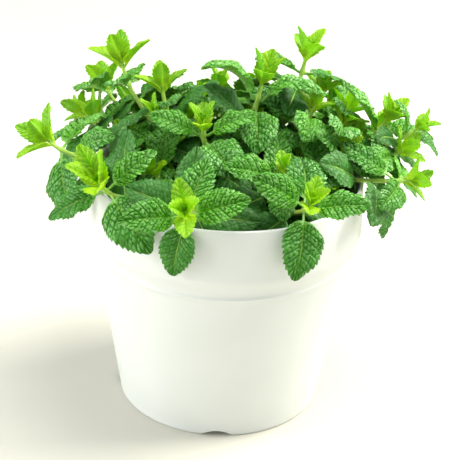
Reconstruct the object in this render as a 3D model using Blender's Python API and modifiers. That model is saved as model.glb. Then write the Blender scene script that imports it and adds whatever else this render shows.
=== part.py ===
"""A mint plant in a white plastic pot, as separate pieces: the pot, its soil, the stems and the leaf pairs.

The origin is the centre of the pot's foot on the ground, +Z is up and -Y is the front. Each shoot of the
plant is one stem, which ends in its growing tip, and one or two older pairs of leaves. Mint leaves stand in
opposite pairs, each pair at right angles to the next, so one table of shoots and one growth rule give every
leaf its place. A leaf that would cut into a neighbour turns aside by the smallest step that clears it.
"""

import math
from dataclasses import dataclass

import bmesh
import bpy
import numpy as np
from mathutils import Vector
from mathutils.bvhtree import BVHTree

# Driving dimensions, in metres.
RIM_RADIUS = 0.075
POT_HEIGHT = 0.136
WALL = 0.002
COLLAR_RADIUS = 0.0762
COLLAR_LOW = 0.108
SEAM_HEIGHT = 0.095
SEAM_RADIUS = 0.0726
FOOT_RADIUS = 0.0575
FOOT_DEPTH = 0.004
FOOT_WIDTH = 0.004
NOTCH_RADIUS = 0.014
NOTCH_DEPTH = 0.0032
NOTCH_COUNT = 4
DRAIN_RADIUS = 0.007
DRAIN_CIRCLE = 0.030
DRAIN_COUNT = 6
TURN_STEPS = 48

GAP = 0.0003
SOIL_TOP = 0.118
SOIL_CROWN = 0.002
SOIL_STEPS = 32

STEM_POINTS = 9
ROOT_CLEARANCE = 0.0009
STEM_RADIUS_LOW = 0.0016
STEM_RADIUS_TOP = 0.0013
RING_RADIUS = 0.0027
RING_THICKNESS = 0.0007

PETIOLE_HALF = 0.0006
LEAF_THICKNESS = 0.0012
LEAF_WIDTH = 0.6  # of its length
LEAF_FOLD = math.radians(16)

# An open leaf's face looks along its stem, plus these shares of straight up and of outwards. Leaves behind
# the turning line look to the back, and the others to the front.
FACE_SKYWARD = 0.8
FACE_OUTWARD = 0.6
TURNING_LINE = 0.045

PAIR_STATIONS = 7
TIP_STATIONS = 5


@dataclass(frozen=True)
class Pair:
    """Two opposite leaves: how far below the crown they stand, the first one's turn, and their form."""

    drop: float
    turn: float
    length: float
    opening: float
    droop: float
    other_opening: float


@dataclass(frozen=True)
class Shoot:
    """One stem. The root and the crown are in millimetres, and the lean at the crown is in degrees.

    The growing tip stands at right angles to the first pair, unless the shoot gives its turn.
    """

    root: tuple
    crown: tuple
    lean: float
    lean_to: float
    tip: float
    pairs: tuple
    tip_turn: float | None = None
    tip_opening: float = 42


def pair(drop, turn, length, opening, droop, other_opening=None):
    return Pair(drop, turn, length, opening, droop, other_opening or opening)


def shoot(root, crown, lean, lean_to, tip, *pairs, **more):
    return Shoot(root, crown, lean, lean_to, tip, tuple(pair(*values) for values in pairs), **more)


# A pair's values: millimetres below the crown, turn in degrees from +X, length in mm, opening from the
# stem and droop in degrees and, where the second leaf opens differently, its own opening.
SHOOTS = (
    shoot((-30, 22), (-61, 40, 182), 8, 150, 23, (13, 80, 26, 66, 30)),
    shoot((-22, 20), (-38, 33, 171), 8, 120, 19, (11, 100, 27, 72, 30)),
    shoot((-6, 34), (-6, 55, 166), 10, 90, 16, (10, 170, 28, 68, 30)),
    shoot(
        (8, 8), (17, 14, 184), 12, 20, 22, (10, 186, 38, 31, 98), (16, 275, 38, 96, 40),
        tip_turn=80, tip_opening=14,
    ),
    shoot((24, 28), (42, 48, 187), 10, 40, 22, (9, 200, 28, 75, 40)),
    shoot((24, 8), (46, 18, 169), 12, 10, 14, (7, 265, 34, 84, 45), (15, 352, 36, 82, 30)),
    shoot((-24, 6), (-39, 8, 162), 10, 170, 18, (9, 190, 28, 78, 30)),
    shoot((-8, -10), (-14, -12, 167), 6, 250, 18, (5, 177, 29, 58, 20), (9, 294, 38, 82, 45)),
    shoot((10, -4), (18, -2, 159), 6, 300, 14, (4, 176, 24, 66, 40)),
    shoot((18, -24), (29, -35, 153), 12, 290, 14, (5, 195, 32, 74, 22), (11, 280, 28, 66, 25)),
    shoot((34, 14), (89, 28, 160), 20, 10, 19, (8, 200, 34, 62, 20), (14, 278, 33, 90, 40)),
    shoot((38, 4), (106, 21, 158), 38, 350, 15, (6, 350, 19, 52, 60)),
    shoot((30, -8), (98, -16, 142), 74, 350, 17, (5, 264, 28, 100, 25), (10, 350, 33, 92, 15, 140)),
    shoot((22, -36), (42, -62, 148), 20, 290, 17, (4, 172, 31, 66, 22, 46), (8, 276, 36, 88, 58)),
    shoot((-36, -4), (-97, -8, 153), 42, 185, 23, (9, 240, 37, 104, 35), (17, 150, 32, 95, 40), tip_turn=40),
    shoot(
        (-28, -26), (-65, -46, 146), 18, 215, 27, (4, 14, 31, 74, 25), (7, 290, 42, 90, 55),
        tip_turn=98, tip_opening=18,
    ),
    shoot((-12, -30), (-21, -77, 147), 34, 268, 20, (5, 8, 32, 66, 22), (9, 250, 30, 86, 40)),
    shoot((-38, 14), (-75, 28, 155), 22, 160, 19, (8, 200, 35, 78, 35)),
    shoot((34, 0), (64, 0, 151), 18, 0, 15, (6, 40, 30, 70, 25)),
    shoot((-20, 38), (-40, 70, 150), 30, 115, 18, (6, 30, 30, 66, 25), (9, 118, 37, 84, 50)),
    shoot((8, 34), (12, 80, 150), 34, 88, 19, (6, 0, 32, 66, 25), (9, 92, 36, 84, 45)),
    shoot((30, 32), (60, 62, 151), 42, 47, 18, (6, 330, 32, 68, 25)),
    shoot((-38, 30), (-84, 46, 148), 52, 152, 17, (7, 60, 32, 70, 30)),
)


def clear_scene():
    for item in list(bpy.data.objects):
        bpy.data.objects.remove(item, do_unlink=True)


def new_collection(name, hidden=False):
    collection = bpy.data.collections.new(name)
    collection.hide_render = hidden
    bpy.context.scene.collection.children.link(collection)
    return collection


def material(name, colour, roughness):
    made = bpy.data.materials.new(name)
    made.use_nodes = True
    shader = made.node_tree.nodes["Principled BSDF"]
    shader.inputs["Base Color"].default_value = (*colour, 1.0)
    shader.inputs["Roughness"].default_value = roughness
    shader.inputs["Metallic"].default_value = 0.0
    return made


def add_mesh(name, points, faces, collection, finish):
    mesh = bpy.data.meshes.new(name)
    mesh.from_pydata([tuple(p) for p in points], [], faces)
    mesh.update()
    made = bpy.data.objects.new(name, mesh)
    collection.objects.link(made)
    if finish:
        mesh.materials.append(finish)
    return made


def turned(name, profile, steps, collection, finish):
    """A closed (radius, height) profile turned about the pot's axis."""
    edges = [(i, (i + 1) % len(profile)) for i in range(len(profile))]
    mesh = bpy.data.meshes.new(name)
    mesh.from_pydata([(r, 0.0, z) for r, z in profile], edges, [])
    made = bpy.data.objects.new(name, mesh)
    collection.objects.link(made)
    screw = made.modifiers.new("turn", "SCREW")
    screw.axis = "Z"
    screw.steps = steps
    screw.render_steps = steps
    screw.use_merge_vertices = True
    screw.merge_threshold = 0.00001
    screw.use_normal_calculate = True
    mesh.materials.append(finish)
    return made


def cut(target, cutter):
    boolean = target.modifiers.new("cut_" + cutter.name, "BOOLEAN")
    boolean.operation = "DIFFERENCE"
    boolean.solver = "EXACT"
    boolean.object = cutter


def cylinder_cutter(name, radius, depth, location, rotation, collection):
    bpy.ops.mesh.primitive_cylinder_add(
        vertices=20, radius=radius, depth=depth, location=location, rotation=rotation
    )
    made = bpy.context.object
    made.name = name
    for owner in list(made.users_collection):
        owner.objects.unlink(made)
    collection.objects.link(made)
    made.hide_render = True
    made.display_type = "WIRE"
    return made


def body_radius(z):
    """The tapered body's outer radius at a height, below the seam."""
    return FOOT_RADIUS + (SEAM_RADIUS - FOOT_RADIUS) * z / SEAM_HEIGHT


def collar_curve(count):
    """The collar's turn-in, from its straight side down to the seam, as a quarter of an S."""
    points = []
    for i in range(1, count):
        t = i / count
        ease = t * t * (3 - 2 * t)
        z = COLLAR_LOW + (SEAM_HEIGHT - COLLAR_LOW) * t
        points.append((COLLAR_RADIUS + (SEAM_RADIUS - COLLAR_RADIUS) * ease, z))
    return points


def outer_profile():
    """The pot's outer side from the lip down to the foot."""
    lip = WALL / 2
    centre = (RIM_RADIUS - lip, POT_HEIGHT - lip)
    round_lip = [
        (centre[0] + lip * math.cos(a), centre[1] + lip * math.sin(a))
        for a in (math.radians(d) for d in (120, 90, 60, 30, 0))
    ]
    bead = [
        (SEAM_RADIUS + 0.0002, SEAM_HEIGHT + 0.0006),
        (SEAM_RADIUS + 0.0006, SEAM_HEIGHT),
        (SEAM_RADIUS, SEAM_HEIGHT - 0.0008),
    ]
    foot = [(FOOT_RADIUS + 0.0004, 0.0012), (FOOT_RADIUS - 0.0006, 0.0)]
    straight = [(COLLAR_RADIUS, COLLAR_LOW)]
    return round_lip + straight + collar_curve(4) + bead + foot


def inner_profile():
    """The pot's inner side from the foot's underside up to the lip, inside the foot first."""
    floor = FOOT_DEPTH + WALL
    return [
        (FOOT_RADIUS - FOOT_WIDTH, 0.0),
        (FOOT_RADIUS - FOOT_WIDTH - 0.0006, FOOT_DEPTH),
        (0.0, FOOT_DEPTH),
        (0.0, floor),
        (body_radius(floor) - WALL, floor),
        (SEAM_RADIUS - WALL, SEAM_HEIGHT),
        (COLLAR_RADIUS - WALL, COLLAR_LOW),
        (RIM_RADIUS - WALL, POT_HEIGHT - WALL / 2),
    ]


def make_pot(parts, cutters):
    plastic = material("white_plastic", (0.80, 0.82, 0.77), 0.38)
    pot = turned("pot", outer_profile() + inner_profile(), TURN_STEPS, parts, plastic)
    notch_centre = NOTCH_DEPTH - NOTCH_RADIUS
    for i in range(NOTCH_COUNT):
        a = math.radians(270 + 360 * i / NOTCH_COUNT)
        place = (FOOT_RADIUS * math.cos(a), FOOT_RADIUS * math.sin(a), notch_centre)
        turn = (0.0, math.radians(90), a)
        name = f"notch_cutter_{i + 1}"
        cut(pot, cylinder_cutter(name, NOTCH_RADIUS, 0.012, place, turn, cutters))
    for i in range(DRAIN_COUNT):
        a = 2 * math.pi * (i + 0.5) / DRAIN_COUNT
        place = (DRAIN_CIRCLE * math.cos(a), DRAIN_CIRCLE * math.sin(a), FOOT_DEPTH)
        name = f"drain_cutter_{i + 1}"
        cut(pot, cylinder_cutter(name, DRAIN_RADIUS, 0.02, place, (0, 0, 0), cutters))
    return pot


def make_soil(parts):
    """The root ball and its potting soil, which fill the pot to below the rim."""
    earth = material("potting_soil", (0.030, 0.018, 0.010), 0.95)
    floor = FOOT_DEPTH + WALL + GAP
    inset = WALL + 2.2 * GAP
    top_share = (SOIL_TOP - COLLAR_LOW) / (POT_HEIGHT - COLLAR_LOW)
    top_radius = COLLAR_RADIUS + (RIM_RADIUS - COLLAR_RADIUS) * top_share - inset
    profile = [
        (0.0, SOIL_TOP + SOIL_CROWN),
        (top_radius * 0.6, SOIL_TOP + SOIL_CROWN * 0.6),
        (top_radius, SOIL_TOP),
        (COLLAR_RADIUS - inset, COLLAR_LOW),
        (SEAM_RADIUS - inset, SEAM_HEIGHT),
        (body_radius(floor) - inset, floor),
        (0.0, floor),
    ]
    return turned("soil", profile, SOIL_STEPS, parts, earth)


def soil_height(x, y):
    """The soil surface's height, safely above its flat facets."""
    share = min(math.hypot(x, y) / (RIM_RADIUS - WALL), 1.0)
    return SOIL_TOP + SOIL_CROWN * (1 - 0.4 * share / 0.6 if share < 0.6 else 0.6 * (1 - share) / 0.4)


def unit(vector):
    return vector / np.linalg.norm(vector)


def turned_from_up(direction):
    """The smallest rotation that carries +Z onto the direction, as a 3 by 3 matrix."""
    return np.array(Vector((0, 0, 1)).rotation_difference(Vector(direction)).to_matrix())


class StemLine:
    """A stem's centre line: a Hermite curve that leaves the soil upright and reaches the crown leaning."""

    def __init__(self, plan):
        x, y = (value / 1000 for value in plan.root)
        root = np.array([x, y, soil_height(x, y) + ROOT_CLEARANCE])
        crown = np.array(plan.crown) / 1000
        lean, to = math.radians(plan.lean), math.radians(plan.lean_to)
        self.up = np.array(
            [math.sin(lean) * math.cos(to), math.sin(lean) * math.sin(to), math.cos(lean)]
        )
        reach = np.linalg.norm(crown - root)
        leave = unit(crown - root) * 0.25 + np.array([0, 0, 0.95])
        t = np.linspace(0, 1, STEM_POINTS)[:, None]
        self.points = (
            (2 * t**3 - 3 * t**2 + 1) * root
            + (t**3 - 2 * t**2 + t) * leave * reach
            + (3 * t**2 - 2 * t**3) * crown
            + (t**3 - t**2) * self.up * reach
        )
        steps = np.linalg.norm(np.diff(self.points, axis=0), axis=1)
        self.below = np.concatenate([[0], np.cumsum(steps[::-1])])[::-1]

    def at(self, drop):
        """The point this far below the crown along the stem, and the stem's direction there."""
        order = np.argsort(self.below)
        point = np.array(
            [np.interp(drop, self.below[order], self.points[order, axis]) for axis in range(3)]
        )
        last = max(int(np.searchsorted(-self.below, -drop)), 1)
        chord = self.points[last] - self.points[last - 1]
        return point, unit(chord)


def leaf_stations(count):
    """Shares of the leaf's length, from the petiole's start to the tip."""
    return np.concatenate([[0.0], np.linspace(0.14, 1.0, count - 1)])


def half_width(share, width):
    """A mint leaf's outline: round near the base, widest before the middle and pointed at the tip."""
    blade = np.clip((share - 0.1) / 0.9, 0, 1)
    outline = np.sin(np.pi * blade**0.72) ** 0.72
    return PETIOLE_HALF + (width / 2 - PETIOLE_HALF) * outline


def leaf_solid(start, direction, face, length, droop, stations):
    """One leaf's corners and faces: four-cornered sections along a midrib that bends away from its face."""
    side = unit(np.cross(direction, face))
    face = np.cross(side, direction)
    share = leaf_stations(stations)
    bend = np.radians(droop) * share**1.3
    step = np.diff(share, prepend=0.0) * length
    middle = (bend + np.concatenate([[0], bend[:-1]])) / 2
    run = np.cumsum(step * np.cos(middle))
    fall = np.cumsum(step * np.sin(middle))
    spine = start + run[:, None] * direction - fall[:, None] * face
    normal = np.cos(bend)[:, None] * face + np.sin(bend)[:, None] * direction
    half = half_width(share, LEAF_WIDTH * length)
    half[-1] = 0.0004
    thick = np.interp(share, [0, 0.15, 1], [1.0, 1.0, 0.35]) * LEAF_THICKNESS / 2
    out = half * np.cos(LEAF_FOLD)
    rise = (half - PETIOLE_HALF).clip(0) * np.sin(LEAF_FOLD)
    left = spine + out[:, None] * side + rise[:, None] * normal
    right = spine - out[:, None] * side + rise[:, None] * normal
    top = spine + thick[:, None] * normal
    bottom = spine - thick[:, None] * normal
    points = np.stack([left, top, right, bottom], axis=1).reshape(-1, 3)
    faces = [(0, 1, 2, 3)]
    for i in range(stations - 1):
        a, b = 4 * i, 4 * i + 4
        for k in range(4):
            n = (k + 1) % 4
            faces.append((a + k, b + k, b + n, a + n))
    last = 4 * (stations - 1)
    faces.append((last + 3, last + 2, last + 1, last))
    return points, faces


@dataclass
class Leaf:
    """A leaf before it is placed: where it leaves its stem, and the angles that the growth rule gives it."""

    owner: str
    line: StemLine
    drop: float
    offset: float
    turn: float
    opening: float
    length: float
    droop: float
    stations: int

    def solid(self, turn_by=0.0, open_by=0.0, scale=1.0):
        point, up = self.line.at(self.drop)
        frame = turned_from_up(up)
        turn = math.radians(self.turn + turn_by)
        opening = math.radians(self.opening + open_by)
        side = frame @ np.array([math.cos(turn), math.sin(turn), 0.0])
        direction = math.cos(opening) * up + math.sin(opening) * side
        outward = unit(np.array([0.4 * point[0], point[1] - TURNING_LINE, 0.0]))
        spread = np.clip((self.opening - 45) / 30, 0, 1)
        light = unit(up + spread * (FACE_SKYWARD * np.array([0, 0, 1]) + FACE_OUTWARD * outward))
        face = light - (light @ direction) * direction
        start = point + self.offset * side
        return leaf_solid(start, direction, unit(face), self.length * scale, self.droop, self.stations)


def tree_of(points, faces):
    return BVHTree.FromPolygons([Vector(p) for p in points], faces)


class Room:
    """The space that is already taken, as one search tree for each placed shape, with the shape's owner."""

    def __init__(self):
        self.taken = []

    def add(self, owner, points, faces):
        self.taken.append((owner, points.min(0), points.max(0), tree_of(points, faces)))

    def is_free(self, owner, points, faces):
        low, high = points.min(0), points.max(0)
        tree = None
        for other, other_low, other_high, other_tree in self.taken:
            if other == owner or (low > other_high).any() or (high < other_low).any():
                continue
            tree = tree or tree_of(points, faces)
            if tree.overlap(other_tree):
                return False
        return True


def tries():
    """Turns, openings and sizes to try, the smallest change first."""
    found = []
    for scale in (1.0, 0.88, 0.76, 0.64):
        for turn_by in (0, 8, -8, 16, -16, 26, -26, 38, -38):
            for open_by in (0, -9, 9, -18, 18, -30, 30):
                cost = abs(turn_by) + 1.2 * abs(open_by) + 160 * (1 - scale)
                found.append((cost, turn_by, open_by, scale))
    return sorted(found)


def settle(leaf, room):
    """The leaf's solid at the first try that clears everything placed before it."""
    for _, turn_by, open_by, scale in tries():
        points, faces = leaf.solid(turn_by, open_by, scale)
        if room.is_free(leaf.owner, points, faces):
            room.add(leaf.owner, points, faces)
            return points, faces
    return None


def pair_leaves(name, line, pair):
    return [
        Leaf(
            name, line, pair.drop / 1000, RING_RADIUS, pair.turn + half_turn, opening,
            pair.length / 1000, pair.droop, PAIR_STATIONS,
        )
        for half_turn, opening in ((0, pair.opening), (180, pair.other_opening))
    ]


def tip_leaves(name, line, plan):
    """The growing tip: an outer pair at right angles to the pair below it, and a smaller upright one."""
    turn = plan.pairs[0].turn + 90 if plan.tip_turn is None else plan.tip_turn
    return [
        Leaf(name, line, drop, 0.0, turn + more, opening, plan.tip * size / 1000, droop, TIP_STATIONS)
        for drop, more, opening, size, droop in (
            (0.0034, 0, plan.tip_opening, 1.0, 22),
            (0.0026, 180, 46, 0.96, 22),
            (0.0015, 95, 19, 0.92, 8),
            (0.0007, 267, 24, 0.86, 8),
        )
    ]


def make_stem(name, line, parts, finish):
    """The stem as a bevelled curve, made a mesh with welded caps, so that its leaves can join it."""
    curve = bpy.data.curves.new(name, "CURVE")
    curve.dimensions = "3D"
    curve.bevel_depth = STEM_RADIUS_LOW
    curve.bevel_resolution = 0
    curve.use_fill_caps = True
    spline = curve.splines.new("POLY")
    spline.points.add(len(line.points) - 1)
    top_share = STEM_RADIUS_TOP / STEM_RADIUS_LOW
    for i, (target, point) in enumerate(zip(spline.points, line.points)):
        target.co = (*point, 1.0)
        target.radius = 1 + (top_share - 1) * i / (len(line.points) - 1)
    guide = bpy.data.objects.new(name + "_guide", curve)
    bpy.context.scene.collection.objects.link(guide)
    graph = bpy.context.evaluated_depsgraph_get()
    mesh = bpy.data.meshes.new_from_object(guide.evaluated_get(graph))
    bpy.data.objects.remove(guide)
    shape = bmesh.new()
    shape.from_mesh(mesh)
    bmesh.ops.remove_doubles(shape, verts=shape.verts, dist=0.00001)
    bmesh.ops.recalc_face_normals(shape, faces=shape.faces)
    shape.to_mesh(mesh)
    shape.free()
    mesh.name = name
    mesh.materials.clear()
    mesh.materials.append(finish)
    stem = bpy.data.objects.new(name, mesh)
    parts.objects.link(stem)
    return stem


def make_ring(name, line, drop, parts, finish):
    """The node ring: the swelling where a pair's two petioles meet round the stem."""
    point, up = line.at(drop)
    turn = Vector((0, 0, 1)).rotation_difference(Vector(up)).to_euler()
    bpy.ops.mesh.primitive_torus_add(
        major_radius=RING_RADIUS, minor_radius=RING_THICKNESS, major_segments=8,
        minor_segments=4, location=tuple(point), rotation=turn,
    )
    ring = bpy.context.object
    ring.name = name
    for owner in list(ring.users_collection):
        owner.objects.unlink(ring)
    parts.objects.link(ring)
    ring.data.name = name
    ring.data.materials.append(finish)
    return ring


def join_leaves(target, solids, helpers):
    for i, (points, faces) in enumerate(solids):
        leaf = add_mesh(f"{target.name}_leaf_{i + 1}", points, faces, helpers, None)
        leaf.hide_render = True
        leaf.display_type = "WIRE"
        union = target.modifiers.new(f"leaf_{i + 1}", "BOOLEAN")
        union.operation = "UNION"
        union.solver = "MANIFOLD"
        union.object = leaf


def world_solid(item):
    """The evaluated corners and faces of an object, for the room that it takes."""
    bpy.context.view_layer.update()
    graph = bpy.context.evaluated_depsgraph_get()
    mesh = item.evaluated_get(graph).to_mesh()
    points = np.array([item.matrix_world @ v.co for v in mesh.vertices])
    faces = [tuple(p.vertices) for p in mesh.polygons]
    return points, faces


def grow(parts, helpers, room):
    """Every stem first, then the leaf pairs, then the growing tips, so that the big leaves choose first."""
    green_stem = material("mint_stem", (0.16, 0.28, 0.06), 0.5)
    green_leaf = material("mint_leaf", (0.045, 0.21, 0.03), 0.5)
    lines = [StemLine(plan) for plan in SHOOTS]
    stems = []
    for number, line in enumerate(lines, 1):
        stem = make_stem(f"stem_{number:02d}", line, parts, green_stem)
        room.add(stem.name, *world_solid(stem))
        stems.append(stem)
    missing = []
    for rank, word in ((1, "lower"), (0, "upper")):
        for number, (plan, line) in enumerate(zip(SHOOTS, lines), 1):
            if rank >= len(plan.pairs):
                continue
            pair = plan.pairs[rank]
            name = f"leaf_pair_{number:02d}_{word}"
            ring = make_ring(name, line, pair.drop / 1000, parts, green_leaf)
            room.add(name, *world_solid(ring))
            solids = [settle(leaf, room) for leaf in pair_leaves(name, line, pair)]
            missing += [name for solid in solids if solid is None]
            join_leaves(ring, [solid for solid in solids if solid], helpers)
    for stem, plan, line in zip(stems, SHOOTS, lines):
        solids = [settle(leaf, room) for leaf in tip_leaves(stem.name, line, plan)]
        missing += [stem.name for solid in solids if solid is None]
        join_leaves(stem, [solid for solid in solids if solid], helpers)
    print("leaves with no room:", missing)


def main():
    clear_scene()
    parts = new_collection("potted_mint_plant")
    cutters = new_collection("cutters", hidden=True)
    room = Room()
    for item in (make_pot(parts, cutters), make_soil(parts)):
        room.add(item.name, *world_solid(item))
    grow(parts, cutters, room)


main()
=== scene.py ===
"""The looks of a mint plant in a white plastic pot: quilted, toothed leaves, square stems, soil and the pot.

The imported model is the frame. The pot, the soil and the stems are made again as fine surfaces on its sizes,
and each leaf is grown again by the plant's own growth rule, at the turn and size that its frame leaf has.
"""

import logging
import math
from dataclasses import dataclass, field
from enum import Enum

import bmesh
import bpy
import numpy as np
from mathutils import Matrix, Vector
from mathutils.bvhtree import BVHTree


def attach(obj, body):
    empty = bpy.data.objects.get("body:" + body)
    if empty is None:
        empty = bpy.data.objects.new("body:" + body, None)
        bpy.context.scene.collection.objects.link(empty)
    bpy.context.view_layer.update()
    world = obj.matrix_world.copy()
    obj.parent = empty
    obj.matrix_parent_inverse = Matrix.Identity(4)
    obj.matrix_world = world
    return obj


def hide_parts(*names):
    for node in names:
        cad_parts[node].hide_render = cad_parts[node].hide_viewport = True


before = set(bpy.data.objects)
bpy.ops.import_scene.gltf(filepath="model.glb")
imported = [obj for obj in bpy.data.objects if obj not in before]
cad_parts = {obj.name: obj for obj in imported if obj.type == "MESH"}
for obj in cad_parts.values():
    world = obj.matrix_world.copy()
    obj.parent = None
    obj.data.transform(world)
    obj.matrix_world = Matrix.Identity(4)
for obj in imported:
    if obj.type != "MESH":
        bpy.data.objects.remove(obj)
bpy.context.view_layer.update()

log = logging.getLogger("mint")
MM = 0.001

# The pot and the soil, in metres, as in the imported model.
RIM_RADIUS = 0.075
POT_HEIGHT = 0.136
WALL = 0.002
COLLAR_RADIUS = 0.0762
COLLAR_LOW = 0.108
SEAM_HEIGHT = 0.095
SEAM_RADIUS = 0.0726
FOOT_RADIUS = 0.0575
FOOT_DEPTH = 0.004
FOOT_WIDTH = 0.004
NOTCH_RADIUS = 0.014
NOTCH_DEPTH = 0.0032
DRAIN_RADIUS = 0.007
DRAIN_CIRCLE = 0.030
DRAIN_COUNT = 6
DRAIN_STEPS = 32
DRAIN_CUT = (-0.004, 0.012)
SOIL_TOP = 0.118
SOIL_CROWN = 0.002

# The frame's growth rule.
STEM_POINTS = 9
ROOT_CLEARANCE = 0.0009
RING_RADIUS = 0.0027
PETIOLE_HALF = 0.0006
FRAME_THICKNESS = 0.0012
LEAF_WIDTH = 0.6
LEAF_FOLD = math.radians(16)
STALK_SHARE = 0.1
OUTLINE_POWER = 0.72
DROOP_POWER = 1.3
FACE_SKYWARD = 0.8
FACE_OUTWARD = 0.6
TURNING_LINE = 0.045
PAIR_STATIONS = 7
TIP_STATIONS = 5
STEM_LEAVES_TOWARDS = 0.25
STEM_LEAVES_UP = 0.95
PLAIN_FIRST_SHARE = 0.14
PLAIN_TIP_HALF = 0.0004
PLAIN_THINNING = ([0, 0.15, 1], [1.0, 1.0, 0.35])
TRY_SIZES = (1.0, 0.88, 0.76, 0.64)
TRY_TURNS = (0, 8, -8, 16, -16, 26, -26, 38, -38)
TRY_OPENINGS = (0, -9, 9, -18, 18, -30, 30)
OPENING_COST = 1.2
SIZE_COST = 160

# A leaf that starts this far out and points this far down hangs over the rim.
HANG_RADIUS = 0.062
HANG_SLOPE = -0.45

# How close a leaf's tip lies to the frame's where it is the same try, and how far leaves stay above the soil.
SAME_PLACE = 0.02 * MM
SOIL_CLEARANCE = 0.002


class Stage(Enum):
    """How far a leaf has grown, from the folded leaves of the tip to the old ones low on the stem."""

    BUD = 0
    TIP = 1
    UPPER = 2
    GROWN = 3
    HANGING = 4
    OLD = 5


@dataclass(frozen=True)
class Pair:
    """Two opposite leaves.

    Args:
        drop: how far below the crown they stand, in mm.
        turn: the first leaf's compass turn from +X, in degrees.
        length: the length of each leaf, in mm.
        opening: the angle from the stem, in degrees.
        droop: how far the leaf bends away from its face by its tip, in degrees.
        other_opening: the second leaf's own opening, where it differs.
    """

    drop: float
    turn: float
    length: float
    opening: float
    droop: float
    other_opening: float | None = None


@dataclass(frozen=True)
class Shoot:
    """One stem with its leaves.

    Args:
        root: where it leaves the soil, in mm.
        crown: its top, in mm.
        lean, lean_to: how far the crown leans, and towards which compass turn from +X, in degrees.
        tip: the length of the leaves of its growing tip, in mm.
        pairs: the pairs below its tip, from the top.
        tip_turn: the tip's own turn, where it isn't at right angles to the first pair.
        tip_opening: the angle of the tip's first leaf from the stem, in degrees.
    """

    root: tuple[float, float]
    crown: tuple[float, float, float]
    lean: float
    lean_to: float
    tip: float
    pairs: tuple[Pair, ...]
    tip_turn: float | None = None
    tip_opening: float = 42


def shoot(root: tuple, crown: tuple, lean: float, lean_to: float, tip: float, *pairs: tuple, **more) -> Shoot:
    """A shoot whose pairs are given as plain values, in the order of Pair."""
    return Shoot(root, crown, lean, lean_to, tip, tuple(Pair(*values) for values in pairs), **more)


SHOOTS = (
    shoot((-30, 22), (-61, 40, 182), 8, 150, 23, (13, 80, 26, 66, 30)),
    shoot((-22, 20), (-38, 33, 171), 8, 120, 19, (11, 100, 27, 72, 30)),
    shoot((-6, 34), (-6, 55, 166), 10, 90, 16, (10, 170, 28, 68, 30)),
    shoot(
        (8, 8), (17, 14, 184), 12, 20, 22, (10, 186, 38, 31, 98), (16, 275, 38, 96, 40),
        tip_turn=80, tip_opening=14,
    ),
    shoot((24, 28), (42, 48, 187), 10, 40, 22, (9, 200, 28, 75, 40)),
    shoot((24, 8), (46, 18, 169), 12, 10, 14, (7, 265, 34, 84, 45), (15, 352, 36, 82, 30)),
    shoot((-24, 6), (-39, 8, 162), 10, 170, 18, (9, 190, 28, 78, 30)),
    shoot((-8, -10), (-14, -12, 167), 6, 250, 18, (5, 177, 29, 58, 20), (9, 294, 38, 82, 45)),
    shoot((10, -4), (18, -2, 159), 6, 300, 14, (4, 176, 24, 66, 40)),
    shoot((18, -24), (29, -35, 153), 12, 290, 14, (5, 195, 32, 74, 22), (11, 280, 28, 66, 25)),
    shoot((34, 14), (89, 28, 160), 20, 10, 19, (8, 200, 34, 62, 20), (14, 278, 33, 90, 40)),
    shoot((38, 4), (106, 21, 158), 38, 350, 15, (6, 350, 19, 52, 60)),
    shoot((30, -8), (98, -16, 142), 74, 350, 17, (5, 264, 28, 100, 25), (10, 350, 33, 92, 15, 140)),
    shoot((22, -36), (42, -62, 148), 20, 290, 17, (4, 172, 31, 66, 22, 46), (8, 276, 36, 88, 58)),
    shoot((-36, -4), (-97, -8, 153), 42, 185, 23, (9, 240, 37, 104, 35), (17, 150, 32, 95, 40), tip_turn=40),
    shoot(
        (-28, -26), (-65, -46, 146), 18, 215, 27, (4, 14, 31, 74, 25), (7, 290, 42, 90, 55),
        tip_turn=98, tip_opening=18,
    ),
    shoot((-12, -30), (-21, -77, 147), 34, 268, 20, (5, 8, 32, 66, 22), (9, 250, 30, 86, 40)),
    shoot((-38, 14), (-75, 28, 155), 22, 160, 19, (8, 200, 35, 78, 35)),
    shoot((34, 0), (64, 0, 151), 18, 0, 15, (6, 40, 30, 70, 25)),
    shoot((-20, 38), (-40, 70, 150), 30, 115, 18, (6, 30, 30, 66, 25), (9, 118, 37, 84, 50)),
    shoot((8, 34), (12, 80, 150), 34, 88, 19, (6, 0, 32, 66, 25), (9, 92, 36, 84, 45)),
    shoot((30, 32), (60, 62, 151), 42, 47, 18, (6, 330, 32, 68, 25)),
    shoot((-38, 30), (-84, 46, 148), 52, 152, 17, (7, 60, 32, 70, 30)),
)

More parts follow.
